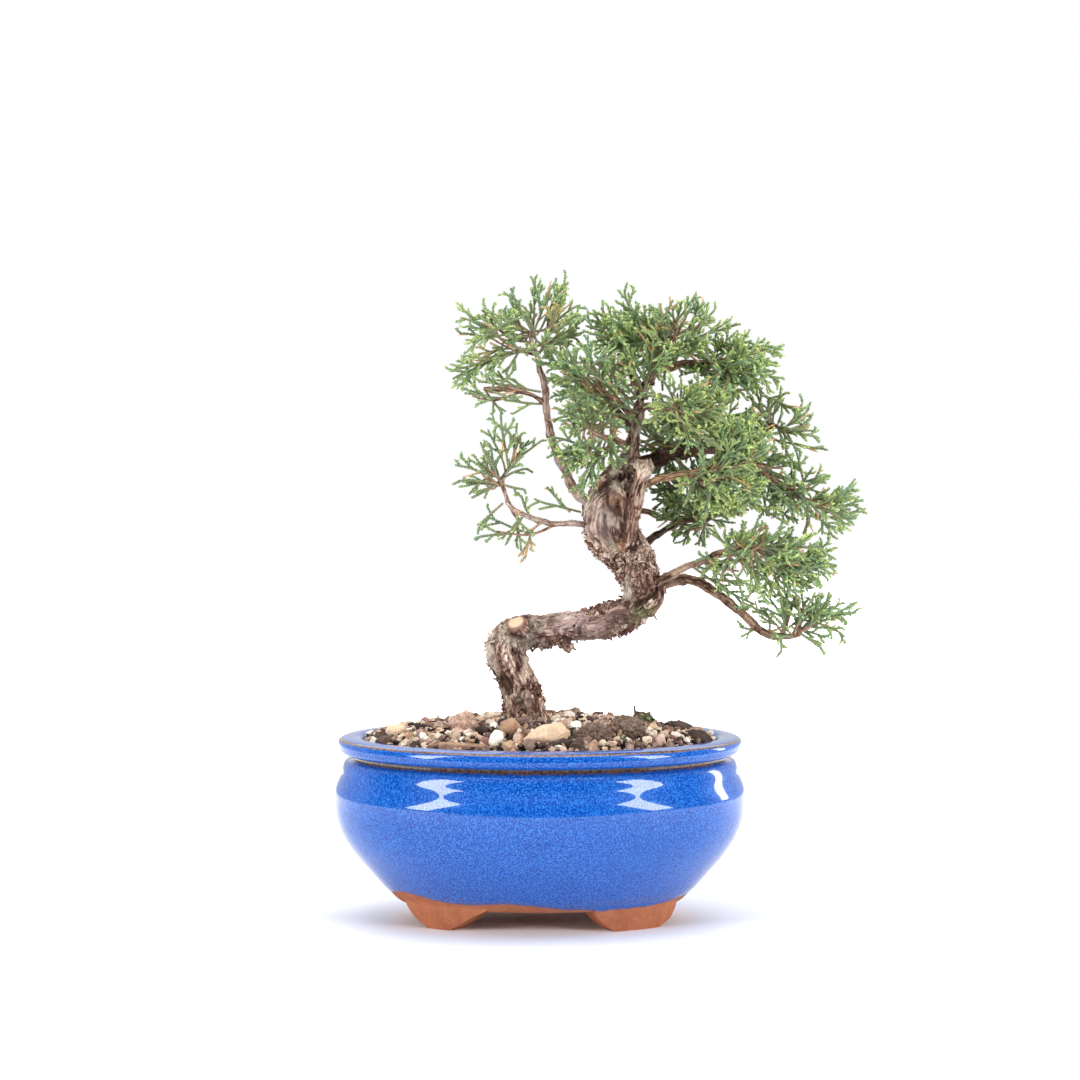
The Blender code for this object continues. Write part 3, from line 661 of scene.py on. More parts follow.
def makeStone(name, spec, seed):
    x, y, length, width, height, turn, lean, kind, angular, tone = spec
    bm = bmesh.new()
    bmesh.ops.create_icosphere(bm, subdivisions=5 if angular > 0.8 else 4, radius=0.5)
    offset = Vector((seed * 7.3, seed * 3.1, seed * 5.7))
    crumbs = max(0.0, angular - 0.5) * 0.36
    for vert in bm.verts:
        at = vert.co.normalized()
        distances, _ = noise.voronoi(at * 1.7 + offset)
        facet = (distances[1] - distances[0]) * angular * 0.5
        lump = noise.noise(at * 1.4 + offset) * 0.22 + noise.noise(at * 3.5 + offset) * 0.10 * (0.4 + angular)
        pits = noise.turbulence(at * 9 + offset, 3, False) * 0.07 * angular
        pits += noise.turbulence(at * 5 + offset, 4, True) * crumbs - crumbs * 0.5
        vert.co = at * (0.5 + lump * 0.5 - angular * 0.05 + facet * 0.35 - pits)
    ground = soilTop(x * mm, y * mm) + height * mm * 0.17
    turning = Matrix.Rotation(math.radians(turn), 4, "Z") @ Matrix.Rotation(math.radians(lean), 4, "Y")
    size = Matrix.Diagonal((length * mm, width * mm, height * mm, 1))
    bm.transform(Matrix.Translation((potX + x * mm, potY + y * mm, ground)) @ turning @ size)
    mesh = meshFrom(name + "_finished", bm, 75)
    setAttribute(mesh, "tone", [tone] * len(mesh.vertices))
    addPiece(name + "_finished", mesh, stoneMaterials[kind], nodeSlot[name], name)


def makeMossTuft():
    # a little moss and a dead twig standing on the chip behind the right lump
    chance = random.Random(5)
    x, y = stones["bark_chip_mossy"][:2]
    top = soilTop(x * mm, y * mm) + 0.0034
    shapes = [lumpShape(chance, (1, 0.9, 0.7)) for _ in range(4)]
    places = []
    for _ in range(46):
        dx, dy = chance.uniform(-4.2, 4.6) * mm, chance.uniform(-3, 1.5) * mm
        size = chance.uniform(0.8, 1.9) * mm
        z = top - abs(dx) * 0.25 + chance.uniform(-0.0016, 0.0008)
        matrix = (Matrix.Translation((potX + x * mm + dx, potY + y * mm + dy, z)) @ turned(chance)
                  @ Matrix.Scale(size, 4))
        places.append((matrix, chance.randrange(4), chance.uniform(0.0, 0.75)))
    scatterPiece("moss_tuft", places, shapes, stoneMaterials["moss"], "foliage")
    foot = Vector((potX + (x - 3.4) * mm, potY + (y - 2) * mm, top - 0.002)) / mm
    stem = [(foot, 0.55, 0), (foot + Vector((0.3, 0, 3.0)), 0.5, 0), (foot + Vector((0, 0, 6.4)), 0.42, 0)]
    twig = tubeMesh("dead_twig", [stem], 1, {"tone": [[0.9, 0.9, 0.9]]})
    twig.transform(Matrix.Scale(mm, 4))
    addPiece("dead_twig", twig, stoneMaterials["dark"], "twig")


print("soil")
makeSoil()
for number, (stoneName, stoneSpec) in enumerate(stones.items()):
    makeStone(stoneName, stoneSpec, number)
makeMossTuft()


def finishScreens():
    material, tree, shader = newMaterial("black_mesh", 0.55)
    grain = addMottle(tree, objectCoords(tree), 400.0, 2600.0)
    colour = mixColour(tree, grain["Patch Mask"], (0.012, 0.012, 0.013), (0.03, 0.03, 0.032))
    finishShader(tree, shader, colour, grain["Height"], 0.3, 0.0001)
    for name in ("screen_left", "screen_right"):
        screen = frame["nodes"][name]
        screen.data.materials.clear()
        screen.data.materials.append(material)


finishScreens()


# The trunk. Stations are x, y, z and radius.

trunkLine = [
    (1.5, 0, -15, 9.6), (-0.4, 0, 2, 8.2), (-4, -1, 14, 7.7), (-7.4, -2, 22, 7.8), (-8.2, -2, 28, 7.9),
    (-5.6, -2, 32.8, 7.7), (0, -1, 35.2, 7.1), (7, 0, 35.6, 6.3), (20, 1, 37, 5.9), (30.5, 2, 38.4, 6.5),
    (40, 2, 42, 6.9), (44.8, 1, 48.3, 7.1), (45.2, 0, 56, 7.8), (40, 0, 66, 9.2), (34, 0, 75.6, 10.8),
    (33.4, 0, 84.8, 11.2), (36, 1, 93, 9.4), (39.6, 1, 100.5, 5.4), (41.6, 0, 108.6, 3.3), (43.6, 0, 120.5, 2.8),
    (45.8, 1, 129.7, 2.4), (50.8, 2, 139.2, 2.0), (55.9, 1, 147, 1.8), (58, 0, 152, 1.3),
]
trunkParts = {
    "sawnStub": [(-1.5, -3, 33.5, 4.6), (-3.4, -8, 37.4, 4.2), (-4.4, -10.4, 39.3, 3.7)],
    "tornStub": [(13.6, 0, 34, 4.0), (15.4, -1, 29.6, 2.6), (16.6, -1, 26.4, 0.9)],
    "frontStem": [(40, -5, 68, 3.4), (40.8, -10, 76, 3.2), (41.8, -11.6, 84, 3.1), (43.4, -10.8, 92, 3.0),
        (45.4, -8.6, 98, 3.3), (46.0, -8.4, 100.6, 4.1), (46.2, -8.0, 103.4, 3.0)],
    "backFold": [(40, 3, 66, 5.0), (29, 3, 76, 5.4), (26, 3, 84, 4.6), (30, 4, 92, 4.4), (36, 5, 99, 4.0)],
    "leftFold": [(32, -6, 66, 3.6), (27.5, -7, 76, 4.4), (29, -8, 86, 4.2), (36, -7, 94, 3.2)],
    "leaderStub": [(45.2, 1, 126, 2.2), (42.4, -1, 135, 1.9), (39.6, -2, 142.4, 1.6)],
    "runBurl": [(24, -3, 36, 4.0), (30, -4, 36.5, 4.6), (36, -3, 39, 4.0)],
    "bendBurl": [(46, -3, 44, 4.6), (50.5, -1, 49, 4.2), (50, -1, 55, 3.8)],
    "frontScroll": [(34.6, -8, 80, 2.2), (33.4, -10.6, 88, 2.3), (35.6, -11.2, 91.6, 2.2),
        (38, -10.6, 88, 2.0), (38.4, -10, 79, 1.8)],
    "rootLeft": [(-5, 0, 8, 4.0), (-6, 0, 1, 4.4), (-9, 0, -6, 3.6)],
    "rootFront": [(2, -4, 8, 4.4), (3.5, -8, 0, 4.6), (5, -12, -6, 3.6)],
}


trunk = {
    "voxel": 0.45,
    "foldDepth": 0.9,  # how far the creases between limbs are sunk
    "foldShade": 0.62,
    "flakes": 800,
    "redFlakes": 520,
    # place, reach and strength
    "moss": [((46.6, -6, 40), 4.4, 2.8), ((49, -3, 60), 4.0, 0.5)],
    "rust": [((34.6, -9, 66.7), 3.4, 0.75), ((38, -10, 70), 2.2, 0.75), ((42.5, -10, 96), 2.4, 0.75),
             ((41, -9, 104), 2.6, 0.75), ((35, -11, 88), 2.6, 0.75)],
    # place, reach and share of the loose flakes
    "flakeRegions": [((28, 1, 46), 6, 0.06), ((37, 1, 33), 7, 0.07), ((27, 0, 66), 11, 0.20),
                     ((38, -4, 60), 9, 0.20), ((7, 0, 14), 8, 0.07), ((-15, 0, 27), 7, 0.06),
                     ((52, 0, 60), 9, 0.10), ((8, 0, 28), 6, 0.05)],
    "redRegions": [((37, 2, 31), 7, 0.16), ((27, 2, 45), 6, 0.12), ((24, 0, 66), 9, 0.22),
                   ((34, 0, 57), 6, 0.12), ((8, -1, 14), 7, 0.12), ((-13, -1, 5), 5, 0.04),
                   ((7, -1, 30), 6, 0.06)],
    # crevice, low, mid and high bark, and the smooth bark; crevices dark and ridges pale partly as painted shade
    # and highlight
    "bark": ((0.055, 0.030, 0.024), (0.29, 0.180, 0.138), (0.58, 0.420, 0.335), (0.97, 0.81, 0.67)),
    "barkSmooth": (0.60, 0.44, 0.42),
    "scab": ((0.035, 0.010, 0.008), (0.13, 0.045, 0.034), (0.26, 0.105, 0.080), (0.46, 0.26, 0.20)),
    "scabSmooth": (0.2, 0.1, 0.08),
}


def indexOf(points):
    # finds the nearest of these points
    tree = KDTree(len(points))
    for i, point in enumerate(points):
        tree.insert(point, i)
    tree.balance()
    return tree


def guideFrames(lines, step=0.8):
    # samples along the limbs' middles, each with a frame carried along without twist
    samples = []
    for number, stations in enumerate(lines):
        path = evenPath(stations, step)
        side = Vector((0, 1, 0))
        for i, point in enumerate(path):
            ahead = path[min(i + 1, len(path) - 1)].xyz - path[max(i - 1, 0)].xyz
            ahead.normalize()
            side = (side - ahead * side.dot(ahead)).normalized()
            samples.append((point.xyz, side.copy(), ahead.cross(side), i * step + number * 57.0, point.w))
    return samples


def barkRelief(point, across, along, round_):
    # height of the bark in millimetres: fissures along the grain, torn plates and fine crumbs
    grain = Vector((across, round_, along * 0.32))
    lumps = noise.noise(point * 0.10) * 0.75 + noise.noise(point * 0.24 + Vector((3, 1, 7))) * 0.55
    crack = abs(noise.noise(grain * 0.42 + Vector((5, 2, 8))))
    fissure = -max(0.0, 1 - crack * 7) * 0.95
    distances, corners = noise.voronoi(grain * 0.34 + Vector((1, 9, 4)))
    plate = noise.cell(corners[0] * 3.7) * 0.55 - max(0.0, 1 - (distances[1] - distances[0]) * 5) * 0.35
    strands = noise.noise(Vector((across * 1.1, round_ * 1.1, along * 0.16))) * 0.55
    crumbs = (noise.turbulence(point * 0.9, 3, False) - 0.4) * 0.36
    return lumps + fissure + plate + strands + crumbs


def dressBark(mesh, samples, coarse, quietAt=()):
    # moves the skin by its bark relief and stores the masks the bark material reads
    tree = indexOf([sample[0] for sample in samples])
    bm = bmesh.new()
    bm.from_mesh(mesh)
    bm.normal_update()
    moved, relief, grain = [], [], []
    for vert in bm.verts:
        point = vert.co.copy()
        _, index, _ = tree.find(point)
        middle, side, other, along, girth = samples[index]
        arm = point - middle
        across, round_ = arm.dot(side), arm.dot(other)
        height = barkRelief(point, across, along, round_) * coarse
        height *= min(1.0, 0.35 + girth / 9)
        for place, reach in quietAt:
            far = (point - Vector(place)).length / reach
            height *= min(1.0, max(0.06, (far - 0.75) * 3))
        moved.append(point + vert.normal * height)
        relief.append(height / coarse)
        grain.append((across, round_, along))
    for vert, place in zip(bm.verts, moved):
        vert.co = place
    bm.to_mesh(mesh)
    bm.free()
    setAttribute(mesh, "relief", [0.5 + r * 0.33 for r in relief])
    setGrain(mesh, grain)


def barkMaterial(name, crevice, low, mid, high, roughness=0.92, redness=0.35, smoothColour=None):
    material, tree, shader = newMaterial(name, roughness, 0.2)
    coords = objectCoords(tree)
    grain = addMottle(tree, coords, 190.0, 1300.0)
    fine = noiseAt(tree, coords, 700, 4.0, 0.7)
    along = setNode(tree, "ShaderNodeAttribute", attribute_name="grain").outputs["Vector"]
    along = setNode(tree, "ShaderNodeMapping", {"Vector": along, "Scale": (1.0, 1.0, 0.16)}).outputs["Vector"]
    fibre = noiseAt(tree, along, 2.3, 4.0, 0.7)
    relief = attribute(tree, "relief")
    # the colour follows the bark's height: darker in crevices and cracks, paler on ridges, partly the bark's own
    # colour and partly painted shade and painted highlight
    level = mathNode(tree, "MULTIPLY_ADD", mathNode(tree, "SUBTRACT", fine, 0.5), 0.8, relief)
    level = mathNode(tree, "MULTIPLY_ADD", mathNode(tree, "SUBTRACT", fibre, 0.5), 0.45, level)
    wander = noiseAt(tree, coords, 320, 2.0)
    bent = setNode(tree, "ShaderNodeVectorMath", {0: along, 1: wander}, operation="ADD")
    plates = setNode(tree, "ShaderNodeTexVoronoi", {"Vector": bent.outputs["Vector"], "Scale": 0.62},
                     feature="DISTANCE_TO_EDGE")
    cracks = ramp(tree, plates.outputs["Distance"], [(0.0, 1.0), (0.055, 0.5), (0.13, 0.0)])
    level = mathNode(tree, "MULTIPLY_ADD", cracks, -0.34, level)
    colour = ramp(tree, level, [(0.12, crevice), (0.36, low), (0.55, mid), (0.82, high)])
    red = mathNode(tree, "MULTIPLY", grain["Patch Mask"], redness)
    colour = mixColour(tree, red, colour, (0.34, 0.165, 0.115))
    pale = ramp(tree, noiseAt(tree, coords, 95, 3.0), [(0.52, 0.0), (0.68, 0.55)])
    colour = mixColour(tree, pale, colour, tuple(min(1.0, c * 1.15) for c in high))
    if smoothColour:
        colour = mixColour(tree, attribute(tree, "smoothed"), colour, smoothColour)
        speckled = ramp(tree, fine, [(0.4, 0.35), (0.6, 1.0)])
        green = mathNode(tree, "MULTIPLY", attribute(tree, "mossy"), speckled)
        colour = mixColour(tree, green, colour, (0.15, 0.22, 0.07))
        colour = mixColour(tree, attribute(tree, "rusty"), colour, (0.56, 0.31, 0.17))
    height = mathNode(tree, "MULTIPLY_ADD", fine, 0.8, fibre)
    height = mathNode(tree, "MULTIPLY_ADD", cracks, -0.7, height)
    finishShader(tree, shader, colour, height, 0.9, 0.0006)
    return material


def flakeShapes(chance, count):
    # small curled plates of loose bark, each a grid of a few faces given a thickness
    shapes = []
    for _ in range(count):
        bm = bmesh.new()
        bmesh.ops.create_grid(bm, x_segments=2, y_segments=2, size=0.5)
        curl = chance.uniform(0.1, 0.7)
        for vert in bm.verts:
            vert.co.x = vert.co.x * chance.uniform(0.5, 1.2) + chance.uniform(-0.14, 0.14)
            vert.co.y = vert.co.y * chance.uniform(0.6, 1.25) + chance.uniform(-0.14, 0.14)
            vert.co.z = curl * (vert.co.y ** 2) + chance.uniform(-0.07, 0.07)
        bmesh.ops.solidify(bm, geom=bm.faces[:], thickness=chance.uniform(0.12, 0.24))
        shapes.append(meshFrom("flake", bm))
    return shapes


def addFlakes(name, skin, samples, chance, count, regions, sizes, material, lift=(0.1, 0.9)):
    # flakes stand on the skin, thick on the ground in the regions: (place, reach, share)
    verts = skin.vertices
    normals = [v.normal.copy() for v in verts]
    tree = indexOf([sample[0] for sample in samples])
    skinTree = indexOf([vert.co for vert in verts])
    shapes = flakeShapes(chance, 10)
    places = []
    pools = [[index for _, index, _ in skinTree.find_range(Vector(place), reach)]
             for place, reach, _ in regions]
    for _ in range(count):
        pick = chance.random()
        pool = None
        for (_, _, share), found in zip(regions, pools):
            pick -= share
            if pick < 0:
                pool = found
                break
        index = chance.choice(pool) if pool else chance.randrange(len(verts))
        at, normal = verts[index].co, normals[index]
        _, near, _ = tree.find(at)
        along = samples[near][1].cross(samples[near][2])
        tangent = (along - normal * along.dot(normal)).normalized()
        side = normal.cross(tangent)
        size = chance.uniform(*sizes)
        basis = Matrix((side, tangent, normal)).transposed().to_4x4()
        tip = Matrix.Rotation(chance.uniform(*lift) * chance.choice((-1, 1)), 4, "X") @ Matrix.Rotation(
            chance.uniform(-0.7, 0.7), 4, "Z") @ Matrix.Rotation(chance.uniform(-0.5, 0.5), 4, "Y")
        scale = Matrix.Diagonal((size * chance.uniform(0.45, 0.9), size, size, 1))
        sunk = Matrix.Translation(at + normal * size * 0.12)
        shape = chance.randrange(len(shapes))
        places.append((treePlace @ sunk @ basis @ tip @ scale, shape, 0.25 + 0.6 * chance.random()))
    mesh = joinBits(name, places, shapes, "relief")
    setGrain(mesh, [tuple(v.co / mm) for v in mesh.vertices])
    addPiece(name, mesh, material, "wood")


def foldMask(skin, lines):
    # 1 in the creases where one limb of the trunk meets another, 0 away from them; the creases are sunk and
    # darkened as painted shade
    trees = []
    for stations in lines:
        path = evenPath(stations, 1.0)
        trees.append((indexOf([point.xyz for point in path]), [point.w for point in path]))
    mask = []
    for vert in skin.vertices:
        gaps = []
        for tree, girths in trees:
            _, index, far = tree.find(vert.co)
            gaps.append(far - girths[index])
        first, second = sorted(gaps)[:2]
        mask.append(math.exp(-((second - first) / 0.75) ** 2) if vert.co.z > 20 else 0.0)
    return mask


def spotMask(at, spots):
    return sum(strength * math.exp(-((at - Vector(place)).length / reach) ** 2)
               for place, reach, strength in spots)


def makeTrunk():
    chance = random.Random(5)
    lines = [trunkLine, *trunkParts.values()]
    tubes = [[(p.xyz, p.w, 0.0) for p in evenPath(line, 1.2)] for line in lines]
    rough = tubeMesh("trunk_rough", tubes, 8)
    skin = withModifiers("trunk_bark", rough, ("REMESH", {"mode": "VOXEL", "voxel_size": trunk["voxel"]}),
                         ("SMOOTH", {"factor": 0.5, "iterations": 6}))
    samples = guideFrames(lines)
    stubEnd = Vector(trunkParts["sawnStub"][-1][:3])
    knob = Vector(trunkParts["frontStem"][-2][:3])
    dressBark(skin, samples, 1.0, ((stubEnd, 4.4),))
    folds = foldMask(skin, lines)
    normals = [vert.normal.copy() for vert in skin.vertices]
    sunk = [vert.co - normal * fold * trunk["foldDepth"]
            for vert, normal, fold in zip(skin.vertices, normals, folds)]
    skin.vertices.foreach_set("co", [c for co in sunk for c in co])
    skin.update()
    masks = {"smoothed": [], "mossy": [], "rusty": []}
    callus = []
    for vert in skin.vertices:
        at = vert.co
        run = math.exp(-(((at.x - 21) / 13) ** 2 + ((at.z - 39) / 6) ** 2)) if at.y < 2 else 0.0
        shin = math.exp(-(((at.x - 27) / 6) ** 2 + ((at.z - 80) / 9) ** 2)) if at.y < 3 else 0.0
        patch = noise.noise(at * 0.22) * 0.6 + 0.55
        masks["smoothed"].append(max(0.0, min(0.85, (run + shin * 0.7) * patch * 1.1)))
        masks["mossy"].append(max(0.0, min(1.0, spotMask(at, trunk["moss"]) * (0.6 + noise.noise(at * 0.6)))))
        masks["rusty"].append(max(0.0, min(0.9, spotMask(at, trunk["rust"]) * (0.7 + noise.noise(at * 0.9)))))
        callus.append(0.45 * math.exp(-((at - knob).length / 5.4) ** 4))
    for name, values in masks.items():
        setAttribute(skin, name, values)
    relief = np.empty(len(skin.vertices), dtype=np.float32)
    skin.attributes["relief"].data.foreach_get("value", relief)
    # the creases between limbs darkened further as painted shade, and the knob by the front stem made paler
    relief += np.array(callus, dtype=np.float32) - trunk["foldShade"] * np.array(folds, dtype=np.float32)
    skin.attributes["relief"].data.foreach_set("value", relief)
    bark = barkMaterial("juniper_bark", *trunk["bark"], smoothColour=trunk["barkSmooth"])
    scab = barkMaterial("red_scab", *trunk["scab"], smoothColour=trunk["scabSmooth"])
    addFlakes("trunk_flakes", skin, samples, chance, trunk["flakes"], trunk["flakeRegions"], (1.2, 3.4), bark)
    addFlakes("red_flakes", skin, samples, chance, trunk["redFlakes"], trunk["redRegions"], (1.0, 2.7), scab,
              (0.4, 1.5))
    skin.transform(treePlace)
    skin.shade_smooth()
    addPiece("trunk_bark", skin, bark, "wood", "trunk")
    makeSawnFace(stubEnd, Vector((-0.30, -0.60, 0.74)))


def makeSawnFace(at, facing):
    # the pale end of the sawn stub, with a rim of bark standing round it
    bm = bmesh.new()
    made = bmesh.ops.create_circle(bm, segments=40, radius=3.75, cap_ends=True)
    for vert in made["verts"]:
        vert.co.x *= 1 + 0.07 * math.sin(3 * math.atan2(vert.co.y, vert.co.x))
        vert.co.y *= 0.92
    for _ in range(4):
        bmesh.ops.inset_region(bm, faces=[f for f in bm.faces if len(f.verts) > 8], thickness=0.62, depth=0.0)
    raised = bmesh.ops.extrude_face_region(bm, geom=bm.faces[:])
    under = [g for g in raised["geom"] if isinstance(g, bmesh.types.BMVert)]
    bmesh.ops.translate(bm, verts=under, vec=(0, 0, -2.4))
    bmesh.ops.recalc_face_normals(bm, faces=bm.faces)
    rim = [e for e in bm.edges if e.calc_face_angle(0) > 1.0]
    bmesh.ops.bevel(bm, geom=rim, offset=0.22, segments=2, affect="EDGES", profile=0.5, material=-1)
    turn = facing.normalized().to_track_quat("Z", "Y").to_matrix().to_4x4()
    for vert in bm.verts:
        vert.co.z += noise.noise(vert.co * 0.9) * 0.22
    bm.transform(treePlace @ Matrix.Translation(at + facing.normalized() * 0.45) @ turn)
    material, tree, shader = newMaterial("sawn_wood", 0.75, 0.3)
    coords = objectCoords(tree)
    centre = collar + at * mm
    near = setNode(tree, "ShaderNodeVectorMath", {0: coords, 1: tuple(centre)}, operation="DISTANCE")
    waves = mathNode(tree, "SINE", mathNode(tree, "MULTIPLY_ADD", noiseAt(tree, coords, 300), 3.0,
                                            mathNode(tree, "MULTIPLY", near.outputs["Value"], 9000.0)))
    rings = mathNode(tree, "MULTIPLY_ADD", waves, 0.5, 0.5)
    colour = ramp(tree, rings, [(0.0, (0.66, 0.43, 0.28)), (1.0, (0.84, 0.64, 0.46))])
    rimMask = ramp(tree, mathNode(tree, "MULTIPLY", near.outputs["Value"], 250.0), [(0.62, 0.0), (0.92, 1.0)])
    finishShader(tree, shader, mixColour(tree, rimMask, colour, (0.22, 0.11, 0.07)), waves, 0.25, 0.0002)
    addPiece("sawn_face", meshFrom("sawn_face", bm, 45), material, "wood")


print("trunk")
makeTrunk()


# The branches, with stations like the trunk's.

branches = {
    "branch_tall_left": [(31, 0, 83, 3.4), (26, -1, 86.4, 2.7), (20.2, -3, 89.6, 2.2),
        (15.4, -5, 97.5, 2.0), (11.5, -6, 106, 1.9), (8.7, -7, 113.8, 1.7), (7.3, -7, 122.1, 1.6),
        (7, -7, 130.5, 1.5), (5.5, -6, 137.2, 1.4), (3.1, -5, 145.6, 1.2), (0.5, -4, 154, 0.8)],
    "branch_left_spur": [(7.1, -7, 126, 1.2), (0, -9, 129.4, 1.0), (-8, -11, 130.8, 0.9),
        (-17, -12, 131.6, 0.7)],
    "branch_low_left": [(31, 0, 75.6, 2.2), (24, -4, 77.6, 1.5), (18, -6, 78.6, 1.3), (11, -8, 78.2, 1.25),
        (5, -9, 79.4, 1.2), (0.4, -10, 81.2, 1.1), (-5.2, -11, 84, 1.0), (-8.4, -12, 89, 0.9),
        (-9.6, -12, 97, 0.7)],
    "branch_right_red": [(45, -1, 52.4, 3.4), (50, -2, 54.6, 2.4), (55.6, -5, 57, 2.0),
        (61.1, -7, 60.2, 1.6), (68.6, -9, 63.8, 1.4), (78.6, -11, 67.6, 1.2), (89, -12, 70, 0.8)],
    "branch_low_right": [(44, 4, 50.6, 3.6), (51, 6, 53, 2.6), (57, 6, 54.4, 2.3), (63.5, 6, 55, 2.1),
        (72.2, 4, 52, 2.0), (79.8, 1, 47.1, 1.9), (87.3, -2, 40, 1.8), (93.6, -4, 34.8, 1.7),
        (100.4, -5, 33.2, 1.5), (108, -5, 34.2, 1.1)],
    "branch_right_thin": [(38, 3, 83.6, 1.8), (46, 8, 82.2, 1.3), (53, 11, 80, 1.2), (61, 13, 78, 1.1),
        (72, 14, 79.6, 1.0), (80.5, 14, 83.6, 0.8)],
    "branch_thick_right": [(38, 4, 96, 4.4), (44, 6.4, 100.4, 3.7), (52, 9, 103.6, 3.2),
        (60.3, 10, 105.4, 3.0), (69.8, 11, 107, 2.6), (82.5, 9, 107.8, 2.0), (93, 5, 106.4, 1.4)],
    "branch_far_right": [(81, 9, 107.8, 1.9), (90, 3, 101, 1.3), (99, -2, 94, 1.1), (109, -6, 88.6, 0.8)],
    "branch_gold": [(44, -6, 93, 2.2), (48.4, -9, 94.6, 1.6), (54, -12, 96.4, 1.4), (60, -14.6, 98.2, 1.3),
        (67.8, -18, 99.8, 1.1), (76, -21, 101, 0.8)],
    "branch_front_crown": [(44.6, 0, 124, 1.9), (51, -9, 124.6, 1.3), (60, -18, 122.6, 0.8)],
    "branch_top_right": [(50.4, 2, 138.6, 2.0), (62, 4, 141, 1.4), (74, 3, 142.2, 1.1), (84, 1, 143, 0.8)],
    "branch_upper_right": [(69.8, 11, 107, 2.2), (78, 9, 112, 1.4), (88, 6, 115, 1.1), (99, 3, 116.4, 0.8)],
    "branch_crown_left": [(43.4, 0, 119, 2.2), (35, -5, 126.4, 1.4), (26, -8, 132.4, 0.9)],
    "branch_heart_left": [(41.6, 0, 107, 2.4), (33.7, -7, 111.4, 1.5), (25, -13, 114.6, 0.9)],
    "branch_back_left": [(42.6, 1, 113, 2.3), (37, 13, 121, 1.4), (30, 24, 128, 0.9)],
    "branch_back_right": [(60.3, 10, 105.4, 2.2), (65, 20, 111.6, 1.4), (70, 29, 117, 0.9)],
    "branch_back_low": [(41, 3, 66, 2.8), (50, 15, 71, 1.6), (62, 24, 78, 1.3), (74, 27, 85, 0.9)],
}
# crevice, low, mid and high bark, roughness and redness; crevices dark and ridges pale partly as painted shade
# and highlight
twigLooks = {name: barkMaterial(name + "_twig", *row) for name, row in {
    "pale": ((0.16, 0.09, 0.07), (0.40, 0.27, 0.21), (0.60, 0.46, 0.39), (0.80, 0.68, 0.60), 0.85, 0.30),
    "red": ((0.05, 0.028, 0.018), (0.22, 0.125, 0.082), (0.42, 0.26, 0.175), (0.62, 0.45, 0.33), 0.85, 0.25),
    # the dark look is the bark darkened as painted shade
    "dark": ((0.018, 0.010, 0.008), (0.065, 0.035, 0.026), (0.13, 0.075, 0.055), (0.24, 0.16, 0.12), 0.9, 0.2),
    "gold": ((0.12, 0.06, 0.03), (0.33, 0.19, 0.11), (0.50, 0.32, 0.19), (0.66, 0.47, 0.31), 0.85, 0.15),
}.items()}
# the branches at the back and inside the crown wear the dark look: their bark darkened as painted shade
twigLook = {"branch_tall_left": "pale", "branch_low_left": "pale", "branch_gold": "gold",
            "branch_right_thin": "gold", "branch_thick_right": "dark", "branch_back_right": "dark",
            "branch_back_left": "dark", "branch_back_low": "dark", "branch_upper_right": "dark"}


def makeBranch(name, stations, seed):
    path = evenPath(stations, 0.55)
    drift = Vector((seed * 3.3, seed * 1.7, seed * 2.9))
    tube = []
    for i, p in enumerate(path):
        wander = Vector((noise.noise(p.xyz * 0.16 + drift), noise.noise(p.xyz * 0.16 + drift * 2),
                         noise.noise(p.xyz * 0.16 + drift * 3))) * 0.8
        fade = min(1.0, i / 12) * min(1.0, (len(path) - 1 - i) / 6)
        knuckle = max(0.0, noise.noise(Vector((i * 0.16, seed, 0)))) * 0.35
        tube.append((p.xyz + wander * fade, p.w * (0.93 + knuckle), 0.0))
    mesh = tubeMesh(name, [tube], 5)
    samples = guideFrames([stations], 0.8)
    dressBark(mesh, samples, 0.42)
    mesh.transform(treePlace)
    mesh.shade_smooth()
    addPiece(name + "_bark", mesh, twigLooks[twigLook.get(name, "red")], "twig", name)


print("branches")
for number, (branchName, branchStations) in enumerate(branches.items()):
    makeBranch(branchName, branchStations, number)


# The foliage.

foliage = {
    "leafStep": 0.72,  # a pair of scale leaves takes two steps
    "cordRadius": 0.62,
    "withered": (0, 0.07, 0.05, 0.03),  # share of dead, pointed cords at each order of branching
    "fullness": 2.35,
    "radii": (0.98, 0.95, 0.9, 0.84),  # share of cordRadius at each order
    "spacing": (3.1, 2.2, 1.7),  # between side cords
    "longest": (15.0, 7.5, 2.6),  # side cord of each order
    "bare": (0.12, 0.10, 0.16),  # chance that a side cord is missing, at each order
    "bareSparse": (0.45, 0.4, 0.85),  # the same in the sparse clusters low on the left
    "bareSparseLeader": (0.25, 0.2, 0.75),
    # from the woody foot of a shoot to its tips
    "colours": [(0.02, (0.34, 0.25, 0.15)), (0.10, (0.23, 0.24, 0.12)), (0.36, (0.185, 0.285, 0.125)),
                (0.66, (0.34, 0.48, 0.18)), (0.93, (0.62, 0.73, 0.27))],
    "tintColour": (0.68, 0.80, 0.22),
    "blueColour": (0.15, 0.29, 0.20),
    # painted shade for the gaps between the scale leaves
    "gapShadeColour": (0.08, 0.12, 0.05),
    "dryColour": (0.68, 0.36, 0.17),
    "seed": 29,
}
